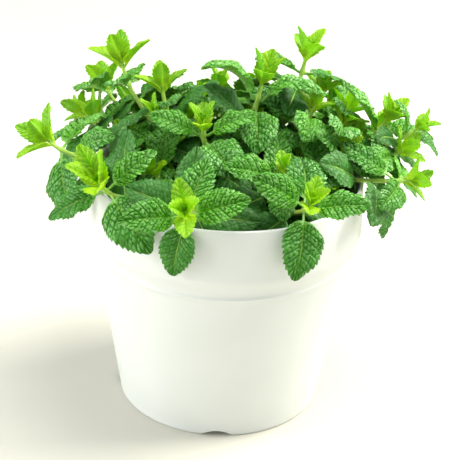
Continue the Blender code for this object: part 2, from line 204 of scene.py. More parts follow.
# Short side shoots that fill the crown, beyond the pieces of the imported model.
SIDE_SHOOTS = (
    shoot((-34, 26), (-72, 60, 160), 30, 140, 20, (4, 250, 36, 70, 35), (14, 340, 30, 80, 30)),
    shoot((-14, 22), (-22, 34, 150), 10, 90, 15, (5, 250, 34, 74, 30), (13, 160, 32, 80, 30)),
    shoot((10, 22), (4, 36, 152), 10, 90, 15, (5, 290, 34, 74, 30), (13, 20, 32, 80, 30)),
    shoot((30, 24), (68, 44, 158), 20, 40, 17, (5, 260, 34, 74, 30), (13, 350, 32, 80, 30)),
    shoot((34, 20), (70, 22, 148), 20, 10, 15, (5, 270, 34, 74, 30), (13, 0, 32, 80, 30)),
    shoot((-2, 2), (-4, 10, 144), 10, 250, 14, (5, 270, 32, 74, 30), (13, 0, 30, 80, 30)),
    shoot((-20, -14), (-40, -20, 143), 20, 220, 15, (5, 240, 34, 74, 30), (13, 330, 32, 80, 30)),
    shoot((16, -14), (52, -22, 141), 20, 330, 15, (5, 280, 34, 80, 30), (13, 10, 30, 80, 30)),
    shoot((-34, 8), (-58, 14, 146), 20, 180, 15, (5, 260, 34, 74, 30), (13, 350, 30, 80, 30)),
    shoot((20, 40), (32, 62, 152), 20, 80, 16, (5, 280, 34, 74, 30), (13, 10, 32, 80, 30)),
    shoot((-2, 42), (-14, 66, 150), 20, 100, 16, (5, 250, 34, 74, 30), (13, 340, 32, 80, 30)),
    shoot((-28, 34), (-58, 64, 148), 30, 130, 16, (5, 260, 34, 74, 30), (13, 170, 32, 80, 30)),
    shoot((26, -2), (40, 0, 148), 10, 300, 14, (5, 250, 34, 74, 30), (13, 340, 32, 80, 30)),
    shoot((-16, -2), (-32, -4, 152), 10, 220, 14, (5, 240, 34, 74, 30), (13, 330, 32, 80, 30)),
    shoot((36, 12), (84, 36, 150), 30, 20, 17, (5, 265, 34, 80, 30), (13, 350, 32, 80, 30)),
    shoot((38, 8), (96, 10, 148), 40, 350, 17, (5, 265, 32, 80, 35), (13, 350, 32, 80, 30)),
    shoot((28, 14), (64, 18, 161), 20, 20, 16, (5, 270, 36, 78, 35), (13, 350, 34, 84, 30)),
    shoot((26, 34), (52, 54, 165), 20, 40, 16, (5, 250, 34, 74, 30), (13, 330, 34, 80, 30)),
    shoot((0, 20), (12, 30, 164), 10, 70, 15, (5, 200, 32, 74, 30), (13, 290, 32, 80, 30)),
)


# ---------------------------------------------------------------- geometry helpers


def unit(vector: np.ndarray) -> np.ndarray:
    """The vector at length 1."""
    return vector / np.linalg.norm(vector)


def smooth(low: float, high: float, value: np.ndarray) -> np.ndarray:
    """An S-shaped step from 0 at low to 1 at high: 3t squared less 2t cubed."""
    t = np.clip((value - low) / (high - low), 0.0, 1.0)
    return t * t * (3 - 2 * t)


def ridge(distance: np.ndarray, width: float) -> np.ndarray:
    """A rounded ridge over a line: e to the power of minus the squared distance over the width."""
    return np.exp(-((distance / width) ** 2))


# The waves and the gain of the sine that scatters numbers, and how far cell centres stray.
HASH_WAVES = (127.1, 311.7, 74.7)
HASH_GAIN = 43758.5453
CELL_JITTER = 0.8


def scatter(a: np.ndarray, b: np.ndarray, seed: float) -> np.ndarray:
    """A repeatable number from 0 to 1 for each pair of whole numbers: the fraction of a large sine."""
    wave = np.sin(a * HASH_WAVES[0] + b * HASH_WAVES[1] + seed * HASH_WAVES[2])
    return np.modf(np.abs(wave * HASH_GAIN))[0]


def cell_border(x: np.ndarray, y: np.ndarray, size: float, seed: float) -> np.ndarray:
    """How far each point is from the border between jittered cells.

    The value is the distance to the second nearest cell centre less that to the nearest, in cells: 0 on a
    border and about 0.8 in the middle of a cell.

    Args:
        x, y: places along and across the leaf, in the same unit as size.
        size: the spacing of the cells.
        seed: picks one of many patterns.

    Returns:
        An array like x.
    """
    along, across = x / size, y / size
    row, column = np.floor(along), np.floor(across)
    nearest = np.full(along.shape, np.inf)
    second = np.full(along.shape, np.inf)
    for ahead, aside in np.ndindex(3, 3):
        a, b = row + ahead - 1, column + aside - 1
        gap = np.hypot(
            a + 0.5 + CELL_JITTER * (scatter(a, b, seed) - 0.5) - along,
            b + 0.5 + CELL_JITTER * (scatter(b, a, seed + 5) - 0.5) - across,
        )
        second = np.minimum(second, np.maximum(nearest, gap))
        nearest = np.minimum(nearest, gap)
    return second - nearest


class MeshBuilder:
    """Collects surface patches as whole arrays and makes them one mesh object."""

    def __init__(self) -> None:
        """Starts with no surface."""
        self.points: list[np.ndarray] = []
        self.quads: list[np.ndarray] = []
        self.values: dict[str, list[np.ndarray]] = {}
        self.count = 0

    def add(self, points: np.ndarray, quads: np.ndarray, **values: np.ndarray) -> None:
        """Adds corners (n by 3), quads (m by 4) and a number for each corner under each name."""
        self.points.append(points.reshape(-1, 3))
        self.quads.append(quads + self.count)
        self.count += len(self.points[-1])
        for name, array in values.items():
            self.values.setdefault(name, []).append(array.reshape(-1))

    def build(self, name: str, finish: bpy.types.Material, crease: float = 50.0) -> bpy.types.Object:
        """Makes the object.

        Args:
            name: the piece's name.
            finish: its material.
            crease: edges sharper than this many degrees stay sharp.

        Returns:
            The object, at the origin.
        """
        points = np.concatenate(self.points).astype(np.float32)
        quads = np.concatenate(self.quads).astype(np.int32)
        mesh = bpy.data.meshes.new(name)
        mesh.vertices.add(len(points))
        mesh.vertices.foreach_set("co", points.ravel())
        mesh.loops.add(quads.size)
        mesh.loops.foreach_set("vertex_index", quads.ravel())
        mesh.polygons.add(len(quads))
        mesh.polygons.foreach_set("loop_start", np.arange(0, quads.size, 4, dtype=np.int32))
        for title, arrays in self.values.items():
            layer = mesh.attributes.new(title, "FLOAT", "POINT")
            layer.data.foreach_set("value", np.concatenate(arrays).astype(np.float32))
        mesh.update(calc_edges=True)
        mesh.validate()
        mesh.shade_smooth()
        mesh.set_sharp_from_angle(angle=math.radians(crease))
        mesh.materials.append(finish)
        piece = bpy.data.objects.new(name, mesh)
        bpy.context.scene.collection.objects.link(piece)
        log.info("%s: %d corners", name, len(points))
        return piece


def grid_quads(rows: int, columns: int, wrap: bool = False) -> np.ndarray:
    """The quads of a grid of corners, row by row. With wrap, the last column joins the first."""
    width = columns if wrap else columns - 1
    i, j = np.meshgrid(np.arange(rows - 1), np.arange(width), indexing="ij")
    right = (j + 1) % columns
    corners = (i * columns + j, i * columns + right, (i + 1) * columns + right, (i + 1) * columns + j)
    return np.stack(corners, axis=-1).reshape(-1, 4)


def leaf_shell_quads(rows: int, columns: int) -> np.ndarray:
    """The quads of two equal grids, upper then under, joined by a wall all round: a closed thin solid."""
    top = grid_quads(rows, columns)
    under = top[:, ::-1] + rows * columns
    index = np.arange(rows * columns).reshape(rows, columns)
    border = np.concatenate([index[0, :], index[1:, -1], index[-1, -2::-1], index[-2::-1, 0]])
    a, b = border[:-1], border[1:]
    wall = np.stack([b, a, a + rows * columns, b + rows * columns], axis=1)
    return np.concatenate([top, under, wall])


def rings_closed(rings: np.ndarray) -> tuple[np.ndarray, np.ndarray]:
    """A tube of rings (n, k, 3) closed at both ends with a fan of thin quads round the middle.

    Returns:
        The corners and the quads.
    """
    first, last = rings[:1], rings[-1:]
    pinch = 0.02
    cap_first = first.mean(1, keepdims=True) + pinch * (first - first.mean(1, keepdims=True))
    cap_last = last.mean(1, keepdims=True) + pinch * (last - last.mean(1, keepdims=True))
    closed = np.concatenate([cap_first, rings, cap_last])
    rows, columns = closed.shape[:2]
    side = grid_quads(rows, columns, wrap=True)
    index = np.arange(columns)
    pairs = columns // 2 - 1
    low = np.stack([
        index[:pairs], index[1:pairs + 1], columns - 2 - index[:pairs], columns - 1 - index[:pairs],
    ], axis=1)
    high = low[:, ::-1] + (rows - 1) * columns
    return closed.reshape(-1, 3), np.concatenate([side, low[:, ::-1], high[:, ::-1]])


# ---------------------------------------------------------------- the growth rule of the frame


def crown_share(share: np.ndarray) -> np.ndarray:
    """The soil's crown over its full height: straight down to 0.6 at 0.6 of the way out, then down to 0."""
    return np.where(share < 0.6, 1 - 0.4 * share / 0.6, 0.6 * (1 - share) / 0.4)


def soil_height(x: float, y: float) -> float:
    """The soil surface's height: a low crown in the middle."""
    share = min(math.hypot(x, y) / (RIM_RADIUS - WALL), 1.0)
    return SOIL_TOP + SOIL_CROWN * float(crown_share(np.array(share)))


def turned_from_up(direction: np.ndarray) -> np.ndarray:
    """The smallest rotation that carries +Z onto the direction, as a 3 by 3 matrix."""
    return np.array(Vector((0, 0, 1)).rotation_difference(Vector(direction)).to_matrix())


class StemLine:
    """A stem's centre line: a Hermite curve that leaves the soil upright and reaches the crown leaning."""

    def __init__(self, plan: Shoot) -> None:
        """Works out the root, the crown, the direction there and the points between."""
        x, y = (value * MM for value in plan.root)
        self.root = np.array([x, y, soil_height(x, y) + ROOT_CLEARANCE])
        self.crown = np.array(plan.crown) * MM
        lean, to = math.radians(plan.lean), math.radians(plan.lean_to)
        self.up = np.array([math.sin(lean) * math.cos(to), math.sin(lean) * math.sin(to), math.cos(lean)])
        self.points = self.curve(STEM_POINTS)
        steps = np.linalg.norm(np.diff(self.points, axis=0), axis=1)
        self.below = np.concatenate([[0], np.cumsum(steps[::-1])])[::-1]
        self.length = float(self.below[0])

    def curve(self, count: int) -> np.ndarray:
        """The Hermite cubic between the root and the crown, at count even steps of its parameter."""
        reach = np.linalg.norm(self.crown - self.root)
        leave = unit(self.crown - self.root) * STEM_LEAVES_TOWARDS + np.array([0, 0, STEM_LEAVES_UP])
        t = np.linspace(0, 1, count)[:, None]
        return (
            (2 * t**3 - 3 * t**2 + 1) * self.root
            + (t**3 - 2 * t**2 + t) * leave * reach
            + (3 * t**2 - 2 * t**3) * self.crown
            + (t**3 - t**2) * self.up * reach
        )

    def at(self, drop: float) -> tuple[np.ndarray, np.ndarray]:
        """The point this far below the crown along the stem, and the stem's direction there."""
        order = np.argsort(self.below)
        point = np.array([np.interp(drop, self.below[order], self.points[order, axis]) for axis in range(3)])
        last = max(int(np.searchsorted(-self.below, -drop)), 1)
        return point, unit(self.points[last] - self.points[last - 1])


@dataclass(frozen=True)
class LeafPlace:
    """Where a leaf lies: its start, the way it points, the way its face looks, and its length and droop."""

    start: np.ndarray
    direction: np.ndarray
    face: np.ndarray
    length: float
    droop: float

    @property
    def side(self) -> np.ndarray:
        """The leaf's own left."""
        return unit(np.cross(self.direction, self.face))

    @property
    def hangs(self) -> bool:
        """True for a leaf over the pot's rim whose tip points down."""
        _, along, _ = self.spine(np.array([0.0, 0.5, 1.0]))
        return bool(np.hypot(*self.start[:2]) > HANG_RADIUS and along[-1, 2] < HANG_SLOPE)

    def spine(self, share: np.ndarray) -> tuple[np.ndarray, np.ndarray, np.ndarray]:
        """The midrib, which bends away from the face by the droop times the share to the power of 1.3.

        Args:
            share: rising shares of the length; the part below 0 runs back straight into the stem.

        Returns:
            The points, the directions along the leaf and the directions out of its face.
        """
        face = np.cross(self.side, self.direction)
        bend = np.radians(self.droop) * np.clip(share, 0, None) ** DROOP_POWER
        step = np.diff(share, prepend=share[0]) * self.length
        middle = (bend + np.concatenate([bend[:1], bend[:-1]])) / 2
        run = share[0] * self.length + np.cumsum(step * np.cos(middle))
        fall = np.cumsum(step * np.sin(middle))
        points = self.start + run[:, None] * self.direction - fall[:, None] * face
        along = np.cos(bend)[:, None] * self.direction - np.sin(bend)[:, None] * face
        normal = np.cos(bend)[:, None] * face + np.sin(bend)[:, None] * self.direction
        return points, along, normal


def outline(share: np.ndarray) -> np.ndarray:
    """Half of the leaf's width over its greatest: round at the base, widest before the middle, pointed."""
    blade = np.clip((share - STALK_SHARE) / (1 - STALK_SHARE), 0, 1)
    return np.sin(np.pi * blade**OUTLINE_POWER) ** OUTLINE_POWER


@dataclass(frozen=True)
class LeafBud:
    """A leaf before it is placed: where it leaves its stem, and the angles of the growth rule."""

    owner: str
    line: StemLine
    drop: float
    offset: float
    turn: float
    opening: float
    length: float
    droop: float
    stations: int

    def place(self, turn_by: float = 0.0, open_by: float = 0.0, scale: float = 1.0) -> LeafPlace:
        """The leaf's place at one try of turn, opening and size."""
        point, up = self.line.at(self.drop)
        turned = turned_from_up(up)
        turn = math.radians(self.turn + turn_by)
        opening = math.radians(self.opening + open_by)
        side = turned @ np.array([math.cos(turn), math.sin(turn), 0.0])
        direction = math.cos(opening) * up + math.sin(opening) * side
        outward = unit(np.array([0.4 * point[0], point[1] - TURNING_LINE, 0.0]))
        spread = np.clip((self.opening - 45) / 30, 0, 1)
        light = unit(up + spread * (FACE_SKYWARD * np.array([0, 0, 1]) + FACE_OUTWARD * outward))
        face = unit(light - (light @ direction) * direction)
        return LeafPlace(point + self.offset * side, direction, face, self.length * scale, self.droop)

    def plain(self, place: LeafPlace) -> tuple[np.ndarray, list[tuple[int, ...]]]:
        """The frame's plain leaf there: four-cornered sections along the midrib, as corners and faces."""
        share = np.concatenate([[0.0], np.linspace(PLAIN_FIRST_SHARE, 1.0, self.stations - 1)])
        points, _, normal = place.spine(share)
        half = PETIOLE_HALF + (LEAF_WIDTH * place.length / 2 - PETIOLE_HALF) * outline(share)
        half[-1] = PLAIN_TIP_HALF
        thick = np.interp(share, *PLAIN_THINNING)[:, None] * FRAME_THICKNESS / 2 * normal
        out = (half * np.cos(LEAF_FOLD))[:, None] * place.side
        rise = ((half - PETIOLE_HALF).clip(0) * np.sin(LEAF_FOLD))[:, None] * normal
        corners = (points + out + rise, points + thick, points - out + rise, points - thick)
        solid = np.stack(corners, axis=1).reshape(-1, 3)
        faces = [(0, 1, 2, 3)]
        for a in range(0, 4 * (self.stations - 1), 4):
            faces += [(a + k, a + 4 + k, a + 4 + (k + 1) % 4, a + (k + 1) % 4) for k in range(4)]
        last = 4 * (self.stations - 1)
        return solid, faces + [(last + 3, last + 2, last + 1, last)]


def tries() -> list[tuple[float, float, float, float]]:
    """Turns, openings and sizes that the growth rule tries, the smallest change first."""
    found = []
    for scale in TRY_SIZES:
        for turn_by in TRY_TURNS:
            for open_by in TRY_OPENINGS:
                cost = abs(turn_by) + OPENING_COST * abs(open_by) + SIZE_COST * (1 - scale)
                found.append((cost, turn_by, open_by, scale))
    return sorted(found)


TRIES = tries()


def corners_of(node: str) -> np.ndarray:
    """The corners of a frame node, n by 3."""
    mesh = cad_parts[node].data
    flat = np.empty(3 * len(mesh.vertices), dtype=np.float32)
    mesh.vertices.foreach_get("co", flat)
    return flat.reshape(-1, 3).astype(float)


def faces_of(node: str) -> list[tuple[int, ...]]:
    """The faces of a frame node."""
    return [tuple(face.vertices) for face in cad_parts[node].data.polygons]


class Room:
    """The space that leaves take, as one search tree for each placed leaf, with its owner."""

    def __init__(self) -> None:
        """Starts with nothing taken."""
        self.taken: list[tuple[str, np.ndarray, np.ndarray, BVHTree]] = []

    def add(self, owner: str, points: np.ndarray, faces: list) -> None:
        """Takes the room of a solid."""
        tree = BVHTree.FromPolygons([Vector(p) for p in points], faces)
        self.taken.append((owner, points.min(0), points.max(0), tree))

    def is_free(self, owner: str, points: np.ndarray, faces: list) -> bool:
        """True if the solid clears all but its owner's other solids."""
        low, high = points.min(0), points.max(0)
        tree = None
        for other, other_low, other_high, other_tree in self.taken:
            if other == owner or (low > other_high).any() or (high < other_low).any():
                continue
            tree = tree or BVHTree.FromPolygons([Vector(p) for p in points], faces)
            if tree.overlap(other_tree):
                return False
        return True

    def as_in_frame(self, bud: LeafBud, corners: np.ndarray) -> LeafPlace:
        """The try whose tip lies on a corner of the frame's own leaf, or the one that comes nearest."""
        best = None
        for _, *changes in TRIES:
            place = bud.place(*changes)
            solid, faces = bud.plain(place)
            miss = max(np.linalg.norm(corners - tip, axis=1).min() for tip in solid[-4::2])
            if best is None or miss < best[0]:
                best = (miss, place, solid, faces)
            if miss < SAME_PLACE:
                break
        self.add(bud.owner, *best[2:])
        return best[1]

    def settle(self, bud: LeafBud) -> LeafPlace | None:
        """The place at the first try that clears everything placed before it, or None."""
        for _, *changes in TRIES:
            place = bud.place(*changes)
            solid, faces = bud.plain(place)
            if solid[:, 2].min() > SOIL_TOP + SOIL_CLEARANCE and self.is_free(bud.owner, solid, faces):
                self.add(bud.owner, solid, faces)
                return place
        return None


# ---------------------------------------------------------------- materials


def linear(code: str) -> tuple[float, float, float, float]:
    """An sRGB hex colour as linear red, green, blue and 1."""
    values = [int(code[i:i + 2], 16) / 255 for i in (1, 3, 5)]
    return (*[v / 12.92 if v <= 0.04045 else ((v + 0.055) / 1.055) ** 2.4 for v in values], 1.0)


def plug(tree: bpy.types.NodeTree, node: bpy.types.Node, links: dict) -> None:
    """Feeds a node's inputs, each by its name or number, from an output or with a plain value."""
    for key, value in links.items():
        if isinstance(value, bpy.types.NodeSocket):
            tree.links.new(value, node.inputs[key])
        else:
            node.inputs[key].default_value = value


def add_node(
    tree: bpy.types.NodeTree, kind: str, links: dict | None = None, output: int | str = 0,
    stops: tuple[tuple[float, str], ...] = (), **settings,
) -> bpy.types.NodeSocket:
    """Adds a shader node.

    Args:
        tree: the material's tree.
        kind: the node's type, without its ShaderNode prefix.
        links: for each input, by name or number, the output that feeds it or its plain value.
        output: the output that is wanted, by name or number.
        stops: the places and hex colours of a colour ramp.
        settings: the node's own properties.

    Returns:
        The wanted output.
    """
    node = tree.nodes.new("ShaderNode" + kind)
    for name, value in settings.items():
        setattr(node, name, value)
    plug(tree, node, links or {})
    marks = node.color_ramp.elements if stops else []
    while len(marks) < len(stops):
        marks.new(1.0)
    for mark, (place, code) in zip(marks, stops):
        mark.position, mark.color = place, linear(code)
    return node.outputs[output]


def new_material(name: str) -> tuple[bpy.types.Material, bpy.types.NodeTree, bpy.types.Node]:
    """A material with its tree and its Principled shader."""
    made = bpy.data.materials.new(name)
    made.use_nodes = True
    return made, made.node_tree, made.node_tree.nodes["Principled BSDF"]


# A Mix node's settings where it mixes colours. Its share is input 0, its colours are 6 and 7.
MIXED = {"output": 2, "data_type": "RGBA"}
MULTIPLIED = {"blend_type": "MULTIPLY", **MIXED}

# A noise node's scale on coordinates in metres is this over its features' size in mm.
PER_M = 1000.0


@dataclass(frozen=True)
class MintLeafFinish:
    """A living mint leaf: a waxy, finely pebbled blade that glows when light comes through it.
    Its colour holds a painted highlight on the top of each puff and painted shade in its creases.

    Args:
        young, growing, mature, old: the greens by age.
        rib, under_rib: the midrib, above and on the underside.
        painted_highlight, crease: the pale painted highlight on the top of a puff, and the painted shade that
            darkens the creases round it.
        underside, glow: the paler underside, and the light that comes through.
        patches, tones: what the green is multiplied by, over the blade and from leaf to leaf.
        off_net, off_side, at_rib, highlight_dome: smooth steps of the distances to the veins, each as from,
        to, first, last. highlight_dome sets how strong the painted highlight is towards a cell's middle.
        roughens, sleekens, dulls, lets_through, satin: smooth steps of the age in the same form.
        patch_mm, grain_mm: the sizes of the patches and of the fine grain.
        grain_share, bump_height: the grain's part in the relief, and the relief's height in metres.
    """

    young: str = "#E8F62A"
    growing: str = "#7ED21E"
    mature: str = "#469C1C"
    old: str = "#357B24"
    rib: str = "#C8EA7C"
    under_rib: str = "#C9E0A8"
    # A painted highlight: the pale colour laid on the top of each puff.
    painted_highlight: str = "#DCF6C0"
    # Painted shade: the green is multiplied by this in the creases between the puffs.
    crease: str = "#7CAE82"
    underside: str = "#A8D27C"
    glow: str = "#C0F618"
    patches: tuple[str, str] = ("#DDEBCF", "#FFFFFF")
    tones: tuple[str, str] = ("#E8F4E6", "#FFFFE0")
    off_net: tuple[float, ...] = (0.02, 0.22, 0.0, 1.0)
    off_side: tuple[float, ...] = (0.08, 0.42, 0.0, 1.0)
    at_rib: tuple[float, ...] = (0.16, 0.46, 1.0, 0.0)
    highlight_dome: tuple[float, ...] = (0.15, 0.6, 0.0, 0.22)
    roughens: tuple[float, ...] = (0.08, 0.36, 0.25, 1.0)
    sleekens: tuple[float, ...] = (0.63, 0.72, 1.0, 0.5)
    dulls: tuple[float, ...] = (0.1, 0.6, 0.15, 0.75)
    lets_through: tuple[float, ...] = (0.05, 0.7, 0.5, 0.26)
    satin: tuple[float, ...] = (0.6, 0.8, 0.38, 0.52)
    patch_mm: float = 6.0
    grain_mm: float = 0.9
    grain_share: float = 0.3
    bump_height: float = 0.0006

    def make(self) -> bpy.types.Material:
        """Builds the material. The blade's age, its side and its distances to the veins are the mesh's."""
        made, tree, shader = new_material("mint_leaf_blade")
        age, pale, under, tone, net, side, middle = (
            add_node(tree, "Attribute", output="Fac", attribute_name=name)
            for name in ("age", "pale", "under", "tone", "net", "side", "middle")
        )
        off_net, off_side, at_rib, highlight_dome, rough, sleek, dull, through, satin = (
            add_node(tree, "MapRange", dict(enumerate((value, *rule))), interpolation_type="SMOOTHSTEP")
            for value, rule in (
                (net, self.off_net), (side, self.off_side), (middle, self.at_rib), (net, self.highlight_dome),
                (age, self.roughens), (age, self.sleekens), (age, self.dulls), (age, self.lets_through),
                (age, self.satin),
            )
        )
        place = add_node(tree, "TexCoord", output="Object")
        puffed = add_node(tree, "Math", {0: off_net, 1: off_side}, operation="MULTIPLY")
        relief = add_node(tree, "Math", {0: rough, 1: sleek}, operation="MULTIPLY")
        puff = add_node(tree, "MapRange", {0: relief, 3: 1.0, 4: puffed})
        rib = add_node(tree, "Math", {0: at_rib, 1: pale}, operation="MULTIPLY")
        greens = ((0.0, self.young), (0.3, self.growing), (0.62, self.mature), (1.0, self.old))
        green = add_node(tree, "ValToRGB", {0: age}, stops=greens)
        cloud = add_node(tree, "TexNoise", {"Vector": place, "Scale": PER_M / self.patch_mm, "Detail": 3.0})
        patch = add_node(tree, "ValToRGB", {0: cloud}, stops=tuple(zip((0.3, 0.7), self.patches)))
        shift = add_node(tree, "ValToRGB", {0: tone}, stops=tuple(zip((0.0, 1.0), self.tones)))
        patched = add_node(tree, "Mix", {0: 1.0, 6: green, 7: patch}, **MULTIPLIED)
        toned = add_node(tree, "Mix", {0: 1.0, 6: patched, 7: shift}, **MULTIPLIED)
        # Painted shade: the green darkened in the creases, where puff is low.
        crease = add_node(tree, "Mix", {0: 1.0, 6: toned, 7: linear(self.crease)}, **MULTIPLIED)
        # Painted highlight: a pale spot on each puff's top, strongest in a cell's middle and away from the
        # side veins.
        highlight_mask = add_node(tree, "Math", {0: highlight_dome, 1: off_side}, operation="MULTIPLY")
        crown = add_node(tree, "Math", {0: highlight_mask, 1: relief}, operation="MULTIPLY")
        painted_highlight = add_node(tree, "Mix", {0: crown, 6: toned, 7: linear(self.painted_highlight)}, **MIXED)
        blade = add_node(tree, "Mix", {0: puff, 6: crease, 7: painted_highlight}, **MIXED)
        front = add_node(tree, "Mix", {0: rib, 6: blade, 7: linear(self.rib)}, **MIXED)
        # The underside keeps the same painted shade in its creases, without the painted highlight.
        plain = add_node(tree, "Mix", {0: puff, 6: crease, 7: toned}, **MIXED)
        back = add_node(tree, "Mix", {0: dull, 6: plain, 7: linear(self.underside)}, **MIXED)
        back = add_node(tree, "Mix", {0: rib, 6: back, 7: linear(self.under_rib)}, **MIXED)
        surface = add_node(tree, "Mix", {0: under, 6: front, 7: back}, **MIXED)
        grain = add_node(tree, "TexNoise", {"Vector": place, "Scale": PER_M / self.grain_mm, "Detail": 2.0})
        height = add_node(tree, "Math", {0: grain, 1: self.grain_share, 2: puff}, operation="MULTIPLY_ADD")
        bump = add_node(tree, "Bump", {"Height": height, "Strength": 0.85, "Distance": self.bump_height})
        plug(tree, shader, {
            "Base Color": surface, "Roughness": satin, "IOR": 1.45, "Specular IOR Level": 0.6, "Normal": bump,
        })
        lit = add_node(tree, "Mix", {0: 0.5, 6: surface, 7: linear(self.glow)}, **MIXED)
        glow = add_node(tree, "BsdfTranslucent", {"Color": lit})
        mix = add_node(tree, "MixShader", {0: through, 1: shader.outputs[0], 2: glow})
        plug(tree, tree.nodes["Material Output"], {"Surface": mix})
        return made


@dataclass(frozen=True)
class MintStemFinish:
    """A square mint stem: soft green, ribbed along its corners and flushed red-brown towards the soil."""

    green: str = "#A6D052"
    flush: str = "#A88A58"
    roughness: float = 0.5
    patch_mm: float = 6.0
    grain_mm: float = 0.5

    def make(self) -> bpy.types.Material:
        """Builds the material. How far a place is towards the soil comes from the mesh."""
        made, tree, shader = new_material("mint_stem_skin")
        low = add_node(tree, "Attribute", output="Fac", attribute_name="low")
        place = add_node(tree, "TexCoord", output="Object")
        patch = add_node(tree, "TexNoise", {"Vector": place, "Scale": PER_M / self.patch_mm, "Detail": 3.0})
        share = add_node(tree, "Math", {0: low, 1: patch}, operation="MULTIPLY")
        skin = add_node(tree, "Mix", {0: share, 6: linear(self.green), 7: linear(self.flush)}, **MIXED)
        grain = add_node(tree, "TexNoise", {"Vector": place, "Scale": PER_M / self.grain_mm, "Detail": 2.0})
        plug(tree, shader, {
            "Base Color": skin, "Roughness": self.roughness,
            "Subsurface Weight": 0.15, "Subsurface Scale": 0.001,
            "Normal": add_node(tree, "Bump", {"Height": grain, "Strength": 0.3, "Distance": 0.0002}),
        })
        return made


@dataclass(frozen=True)
class PotPlasticFinish:
    """Injection-moulded white polypropylene: a satin skin with a faint orange-peel and handling dust."""

    white: str = "#DADDD9"
    shade: str = "#D5D9D4"
    smoothest: float = 0.30
    roughest: float = 0.46
    cloud_mm: float = 60.0
    dust_mm: float = 25.0
    peel_mm: float = 1.4

    def make(self) -> bpy.types.Material:
        """Builds the material."""
        made, tree, shader = new_material("pot_polypropylene_moulded")
        place = add_node(tree, "TexCoord", output="Object")
        cloud, dust, peel = (
            add_node(tree, "TexNoise", {"Vector": place, "Scale": PER_M / size_mm, "Detail": detail})
            for size_mm, detail in ((self.cloud_mm, 3.0), (self.dust_mm, 4.0), (self.peel_mm, 1.0))
        )
        stops = ((0.35, self.shade), (0.65, self.white))
        plug(tree, shader, {
            "Base Color": add_node(tree, "ValToRGB", {0: cloud}, stops=stops),
            "Roughness": add_node(tree, "MapRange", {0: dust, 3: self.smoothest, 4: self.roughest}),
            "IOR": 1.49,
            "Subsurface Weight": 0.2, "Subsurface Scale": 0.004, "Subsurface Radius": (1.0, 1.0, 0.9),
            "Normal": add_node(tree, "Bump", {"Height": peel, "Strength": 0.12, "Distance": 0.0001}),
        })
        return made


@dataclass(frozen=True)
class PottingSoilFinish:
    """Damp peat compost: dark brown crumbs with paler dry fibres."""

    dark: str = "#21160F"
    brown: str = "#4A3525"
    crumb_mm: float = 3.0
    grit_mm: float = 1.2

    def make(self) -> bpy.types.Material:
        """Builds the material."""
        made, tree, shader = new_material("potting_soil_peat")
        place = add_node(tree, "TexCoord", output="Object")
        crumb = add_node(tree, "TexNoise", {"Vector": place, "Scale": PER_M / self.crumb_mm, "Detail": 6.0})
        grit = add_node(tree, "TexNoise", {"Vector": place, "Scale": PER_M / self.grit_mm, "Detail": 4.0})
        stops = ((0.35, self.dark), (0.72, self.brown))
        plug(tree, shader, {
            "Base Color": add_node(tree, "ValToRGB", {0: crumb}, stops=stops),
            "Roughness": 0.95,
            "Normal": add_node(tree, "Bump", {"Height": grit, "Strength": 0.8, "Distance": 0.0006}),
        })
        return made


@dataclass(frozen=True)
class PerliteFinish:
    """Expanded perlite: chalky white grains, slightly stained by the peat."""

    white: str = "#E4E0D4"
    stain: str = "#A89880"
    stain_mm: float = 1.5

    def make(self) -> bpy.types.Material:
        """Builds the material."""
        made, tree, shader = new_material("perlite_grain")
        place = add_node(tree, "TexCoord", output="Object")
        cloud = add_node(tree, "TexNoise", {"Vector": place, "Scale": PER_M / self.stain_mm, "Detail": 3.0})
        stops = ((0.35, self.stain), (0.6, self.white))
        skin = add_node(tree, "ValToRGB", {0: cloud}, stops=stops)
        plug(tree, shader, {"Base Color": skin, "Roughness": 0.9})
        return made


# ---------------------------------------------------------------- the pot and the soil


